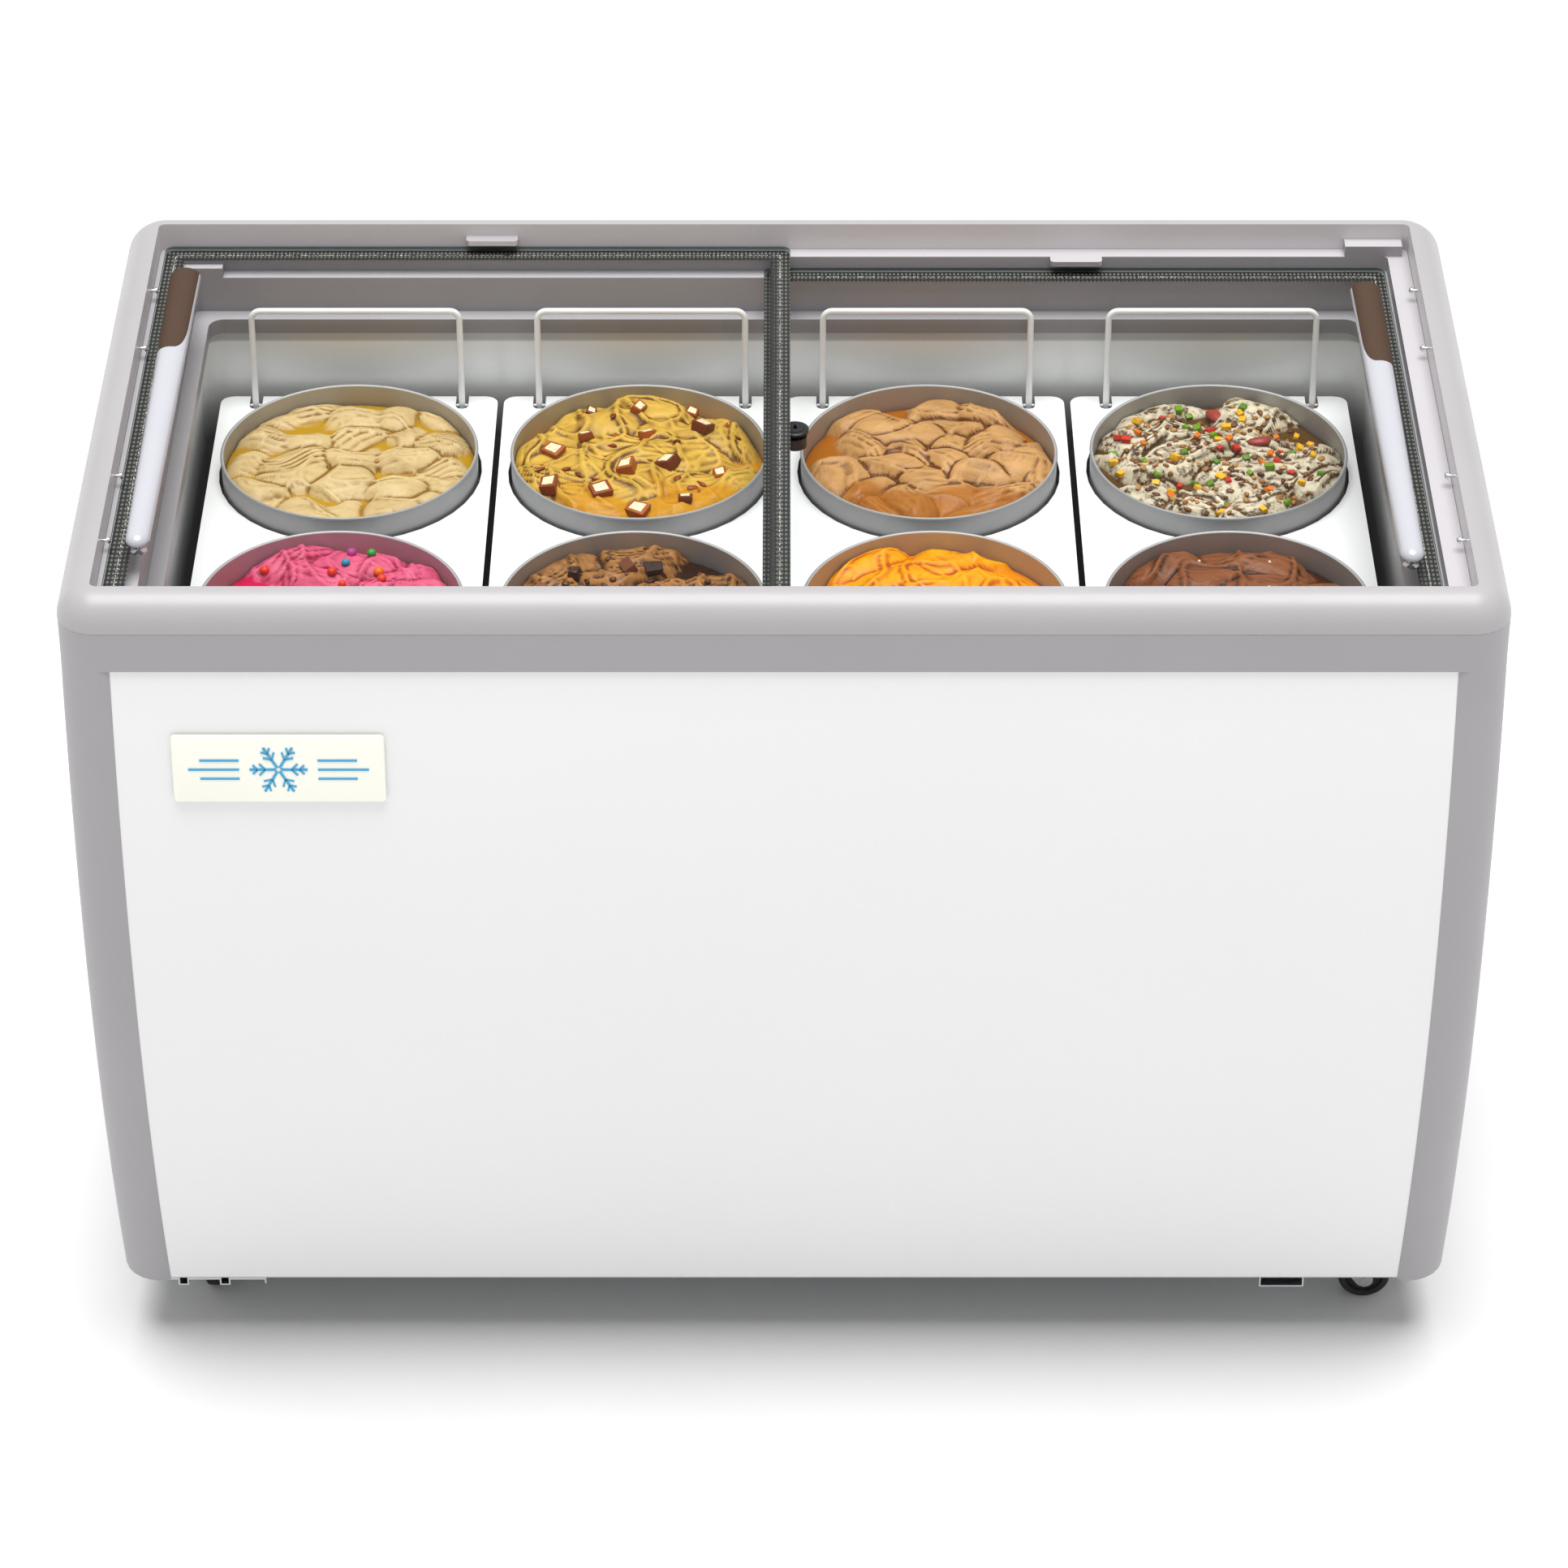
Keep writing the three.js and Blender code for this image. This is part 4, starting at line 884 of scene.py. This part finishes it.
def add_bail(column):
    """A round wire bail with a cross pin through each foot."""
    node = f"bail_{column}"
    low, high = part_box(node)
    pivot = Vector(JOINTS[f"{node}_fold"]["pos_m"])
    wire, foot = 3 * MM, 4 * MM
    pin, pin_half, chamfer = 1.5 * MM, 5.6 * MM, 0.3 * MM
    lean = math.radians(5)
    half = (high.x - low.x) / 2 - 5.7 * MM
    height = (high.z - pivot.z) / math.cos(lean) - wire
    bend = 9 * MM
    flat = [(-half, -foot)] + arc((-half + bend, height - bend), bend, 180, 90, 8)
    flat += arc((half - bend, height - bend), bend, 90, 0, 8) + [(half, -foot)]
    turn = Matrix.Translation(pivot) @ Matrix.Rotation(-lean, 4, "X")
    parts = [wire_parts([turn @ Vector((x, 0, z)) for x, z in flat], wire)]
    profile = [(0, -pin_half), (pin - chamfer, -pin_half), (pin, chamfer - pin_half),
               (pin, pin_half - chamfer), (pin - chamfer, pin_half), (0, pin_half)]
    for side in (-1, 1):
        across = Matrix.Translation((side * half, 0, 0)) @ Matrix.Rotation(math.pi / 2, 4, "Y")
        parts.append(turned_parts(profile, 16, turn @ across))
    add_piece(f"bail_wire_{column}", parts, "zinc_wire", node, "zinc_wire", node)


# ---- handles ----

HANDLE_TAPER = 0.16  # how much wider the far end is than the middle
HANDLE_RISE = 9 * MM
HANDLE_EDGE = 0.07  # the share of its height that is an upright edge
HANDLE_SWEEP = math.radians(86)
HANDLE_STEPS = 14


def handle_outline(half_width, half_length, pull):
    """A bar with round ends, wider at the far end, pulled in evenly by a distance."""
    widest = half_width / (1 + HANDLE_TAPER * (1 - half_width / half_length))
    outline = stadium(widest - pull, half_length - pull)
    return [(x * (1 + HANDLE_TAPER * y / half_length), y) for x, y in outline]


def handle_shell(name, centre, half_width, half_length, base, material, grow=0.0):
    """The half-round bar, as outlines stacked up an elliptical section."""
    outlines = []
    for step in range(-1, HANDLE_STEPS + 1):
        angle = HANDLE_SWEEP * max(step, 0) / HANDLE_STEPS
        pull = (half_width - 2.5 * MM) * (1 - math.cos(angle)) + (0.7 * MM if step < 0 else 0)
        rise = math.sin(angle) / math.sin(HANDLE_SWEEP)
        height = 0 if step < 0 else HANDLE_RISE * (rise * (1 - HANDLE_EDGE) + HANDLE_EDGE)
        outline = handle_outline(half_width, half_length, pull - grow)
        lift = grow if step > HANDLE_STEPS / 2 else 0.0
        outlines.append([(centre.x + x, centre.y + y, base + height + lift) for x, y in outline])
    return build(name, *stacked_parts(outlines), material, 50)


def add_handle(side, flip):
    """A half-round white bar on two posts, with the brown grip let into its far end."""
    node = f"{side}_handle"
    low, high, centre = measured(node)
    half_width, half_length = (high.x - low.x) / 2, (high.y - low.y) / 2
    base = high.z - HANDLE_RISE
    bar = handle_shell(f"{side}_handle_bar", centre, half_width, half_length, base, MATERIALS["handle_white"])
    inlay_low, inlay_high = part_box(f"{node}_inlay")
    spare, steps = 30 * MM, 14
    start, far = inlay_low.y, inlay_high.y + spare
    flat, corner = 3 * MM, 38 * MM
    inward, margin = half_width - 2.6 * MM, half_width - 1.4 * MM
    outline = [(-spare, start)]
    for i in range(steps + 1):
        share = i / steps
        bow = 2 * share * (1 - share)
        across = bow * (inward - 1 * MM) + share ** 2 * inward
        along = bow * flat + share ** 2 * corner
        outline.append((flat * (1 - share) ** 2 + across, start + along))
    outline += [(margin, inlay_high.y), (margin, far), (-spare, far)]
    floor = base + 2.2 * MM
    rings = [[(centre.x + flip * x, y, z) for x, y in outline] for z in (floor, high.z + 10 * MM)]
    zone = build("zone", *stacked_parts(rings), MATERIALS["handle_brown"])
    inlay = handle_shell(f"{side}_grip_inlay", centre, half_width, half_length, base,
                         MATERIALS["handle_brown"], 0.25 * MM)
    keep_inside(inlay, zone)
    finish_piece(inlay, f"{side}_lid", "handle_brown", f"{node}_inlay")
    finish_piece(bar, f"{side}_lid", "handle_white", node)
    parts, foot, top, inset = [], low.z, base + 0.5 * MM, 15 * MM
    profile = [(0, foot), (7 * MM, foot), (7 * MM, foot + 1.2 * MM), (5.2 * MM, foot + 2 * MM),
               (4 * MM, foot + 3.4 * MM), (4 * MM, top), (0, top)]
    for sign in (-1, 1):
        spot = Matrix.Translation((centre.x, centre.y + sign * (half_length - inset), 0))
        parts.append(turned_parts(profile, 32, spot))
    add_piece(f"{side}_handle_posts", parts, "chrome", f"{side}_lid", "handle_white")


# ---- glass borders ----

def add_border(side):
    """The print on the underside of a lid, as a very thin ring just below the glass."""
    low, high, centre = measured(f"{side}_glass")
    half_x, half_y = (high.x - low.x) / 2, (high.y - low.y) / 2
    width, margin, corner, steps = 19 * MM, 0.4 * MM, 8 * MM, 10
    top, bottom = low.z - 0.03 * MM, low.z - 0.13 * MM
    outlines, inward = [], []
    for z, order in ((top, range(steps + 1)), (bottom, range(steps, -1, -1))):
        for i in order:
            inset = margin + (width - margin) * i / steps
            radius = max(corner - inset, 1.5 * MM)
            outline = rounded_rectangle(half_x - inset, half_y - inset, radius)
            outlines.append([(centre.x + x, centre.y + y, z) for x, y in outline])
            inward += [i / steps] * len(outline)
    border = build(f"{side}_glass_border", *stacked_parts(outlines, closed=True), MATERIALS["printed_border"])
    set_values(border, "inward", inward)
    finish_piece(border, f"{side}_lid", "lid_glass")


# ---- small hardware ----

RIM_SCREW_YS = (-217, -111, 111, 217)  # mm from the middle of the rim


def screw_parts(place, head, length):
    """A pan-head screw along +Z of its place, with a round recess pressed in the head."""
    shank = head * 0.45
    edge = length + 0.6 * MM
    profile = [(0, 0), (shank, 0), (shank, length), (head, length), (head, edge)]
    profile += [(r, edge + z) for r, z in arc((0, 0), head, 12, 72, 5)]
    profile += [(head * 0.22, edge + 0.25 * head), (0, edge + 0.1 * head)]
    return turned_parts(profile, 20, place)


def add_rim_screws():
    """Four screws stand out of each short inner wall of the rim."""
    _, high, centre = measured("top_rim")
    wall, depth = 592.5 * MM, 16 * MM
    parts = []
    for side in (-1, 1):
        for y in RIM_SCREW_YS:
            place = Matrix.Translation((side * wall, centre.y + y * MM, high.z - depth))
            parts.append(screw_parts(place @ Matrix.Rotation(-side * math.pi / 2, 4, "Y"), 3 * MM, 5 * MM))
    add_piece("rim_screws", parts, "chrome", "cabinet", "zinc_steel")


def add_panel_screws():
    """Screws round the back panel and at the corners of the vent grille."""
    low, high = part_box("back_panel")
    parts, inset, sunk = [], 14 * MM, 0.2 * MM
    left, right, bottom, top = low.x + inset, high.x - inset, low.z + inset, 765 * MM
    spots = [(left + (right - left) * i / 4, z) for i in range(5) for z in (bottom, top)]
    spots += [(x, bottom + (top - bottom) * i / 3) for i in (1, 2) for x in (left, right)]
    for x, z in spots:
        place = Matrix.Translation((x, high.y - sunk, z)) @ Matrix.Rotation(-math.pi / 2, 4, "X")
        parts.append(screw_parts(place, 3.6 * MM, sunk))
    low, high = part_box("vent_grille")
    inset = 7 * MM
    for y in (low.y + inset, high.y - inset):
        for z in (low.z + inset, high.z - inset):
            place = Matrix.Translation((high.x - sunk, y, z)) @ Matrix.Rotation(math.pi / 2, 4, "Y")
            parts.append(screw_parts(place, 3 * MM, sunk))
    add_piece("panel_screws", parts, "chrome", "cabinet", "zinc_steel")


def add_dial_scale():
    """Raised setting marks round the dial, each longer than the one before."""
    centre = measured("thermostat_dial")[2]
    marks, inner_edge, half_width, face = 11, 20.5 * MM, 0.5 * MM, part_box("vent_grille")[1].x
    parts = []
    for i in range(marks):
        turn = Matrix.Rotation(math.radians(-135 + 270 * i / (marks - 1)), 4, "X")
        length = (1.6 + 0.24 * i) * MM
        corners = [(-half_width, inner_edge), (half_width, inner_edge),
                   (half_width, inner_edge + length), (-half_width, inner_edge + length)]
        rings = []
        for x in (face - 0.1 * MM, face + 0.35 * MM):
            ring = [turn @ Vector((0, y, z)) for y, z in corners]
            rings.append([Vector((x, centre.y, centre.z)) + p for p in ring])
        parts.append(stacked_parts(rings))
    add_piece("dial_scale", parts, "black_plastic", "cabinet", "black_plastic")


def add_wheels():
    """Caster wheels with a rounded tyre and a dished hub."""
    for place in CASTER_PLACES:
        node = f"caster_wheel_{place}"
        low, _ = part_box(node)
        joint = JOINTS[f"wheel_spin_{place}"]
        centre, axis = Vector(joint["pos_m"]), Vector(joint["axis"])
        turn = axis.to_track_quat("Z", "Y").to_matrix().to_4x4()
        radius = centre.z - low.z
        bore, shoulder = 4.3 * MM, 4 * MM
        tread = arc((radius - shoulder, 5 * MM), shoulder, 0, 80, 5)
        side = [(bore, 9 * MM), (8 * MM, 9 * MM), (9 * MM, 6.5 * MM), (17 * MM, 5.5 * MM),
                (18 * MM, 8.2 * MM)]
        lower = [(r, -z) for r, z in tread]
        profile = lower[::-1] + tread + side[::-1] + [(r, -z) for r, z in side]
        parts = [turned_parts(profile, 64, Matrix.Translation(centre) @ turn)]
        add_piece(f"wheel_{place}", parts, "caster_tyre", f"wheel_{place}", "caster_tyre", node)


# ---- badge ----

def add_badge_emblem():
    """A plain snowflake between two groups of lines, raised on the badge."""
    low, high, centre = measured("badge")
    thickness, proud = 4 * MM, 2 * MM
    slope = math.atan2((high.y - low.y) - thickness, high.z - low.z)
    face = Matrix.Translation((centre.x, centre.y - proud, centre.z))
    face = face @ Matrix.Rotation(math.pi / 2 - slope, 4, "X")
    parts = []

    def stroke(start, end, width):
        a, b = Vector((*start, 0)), Vector((*end, 0))
        along = (b - a).normalized()
        across = Vector((-along.y, along.x, 0)) * width / 2
        corners = [a - across, b - across, b + across, a + across]
        rings = [[face @ (p + Vector((0, 0, z))) for p in corners] for z in (0, 0.7 * MM)]
        parts.append(stacked_parts(rings))

    arms, reach = 6, 25 * MM
    for arm in range(arms):
        turn = Matrix.Rotation(math.radians(360 / arms * (arm + 0.5)), 4, "Z")
        stroke((turn @ Vector((0, 2 * MM, 0)))[:2], (turn @ Vector((0, reach, 0)))[:2], 2.4 * MM)
        for share, length in ((0.45, 7 * MM), (0.72, 5.5 * MM)):
            for side in (-1, 1):
                root = Vector((0, reach * share, 0))
                tip = root + Vector((side * length * 0.8, length * 0.75, 0))
                stroke((turn @ root)[:2], (turn @ tip)[:2], 1.8 * MM)
    for side in (-1, 1):
        for row, length in ((-1, 34), (0, 44), (1, 34)):
            start, level = side * 34 * MM, row * 9 * MM
            stroke((start, level), (start + side * length * MM, level), 2 * MM)
    add_piece("badge_emblem", parts, "emblem_blue", "cabinet", "badge_plastic")


# ---- studio ----

def add_studio():
    """A plain pale floor, an even sky that looks white, and a broad soft sun straight above."""
    half, below = 40.0, -0.5 * MM
    corners = [(-half, -half, below), (half, -half, below), (half, half, below), (-half, half, below)]
    floor = build("studio_floor", corners, [[0, 1, 2, 3]], floor_material())
    world = bpy.data.worlds.new("studio")
    world.use_nodes = True
    background = world.node_tree.nodes["Background"]
    background.inputs["Color"].default_value = (1, 1, 1, 1)
    seen = world.node_tree.nodes.new("ShaderNodeLightPath").outputs["Is Camera Ray"]
    strength = world.node_tree.nodes.new("ShaderNodeMapRange")
    strength.inputs["To Min"].default_value = 0.62
    strength.inputs["To Max"].default_value = 1.0
    world.node_tree.links.new(seen, strength.inputs["Value"])
    world.node_tree.links.new(strength.outputs["Result"], background.inputs["Strength"])
    SCENE.world = world
    sun = bpy.data.lights.new("overhead", "SUN")
    sun.energy = 3.9
    sun.angle = math.radians(45)
    overhead = bpy.data.objects.new("overhead", sun)
    SCENE.collection.objects.link(overhead)
    SCENE.view_settings.view_transform = "Standard"


# ---- assembly ----

finish_cad_nodes()
for number, place in enumerate(TUB_PLACES):
    add_tub(place)
    add_ice_cream(place, FIRST_SEED + number)
for column in COLUMNS:
    add_bail(column)
for side, flip in (("upper", 1), ("lower", -1)):
    add_handle(side, flip)
for side in ("upper", "lower"):
    add_border(side)
add_rim_screws()
add_panel_screws()
add_dial_scale()
add_wheels()
add_badge_emblem()
add_studio()
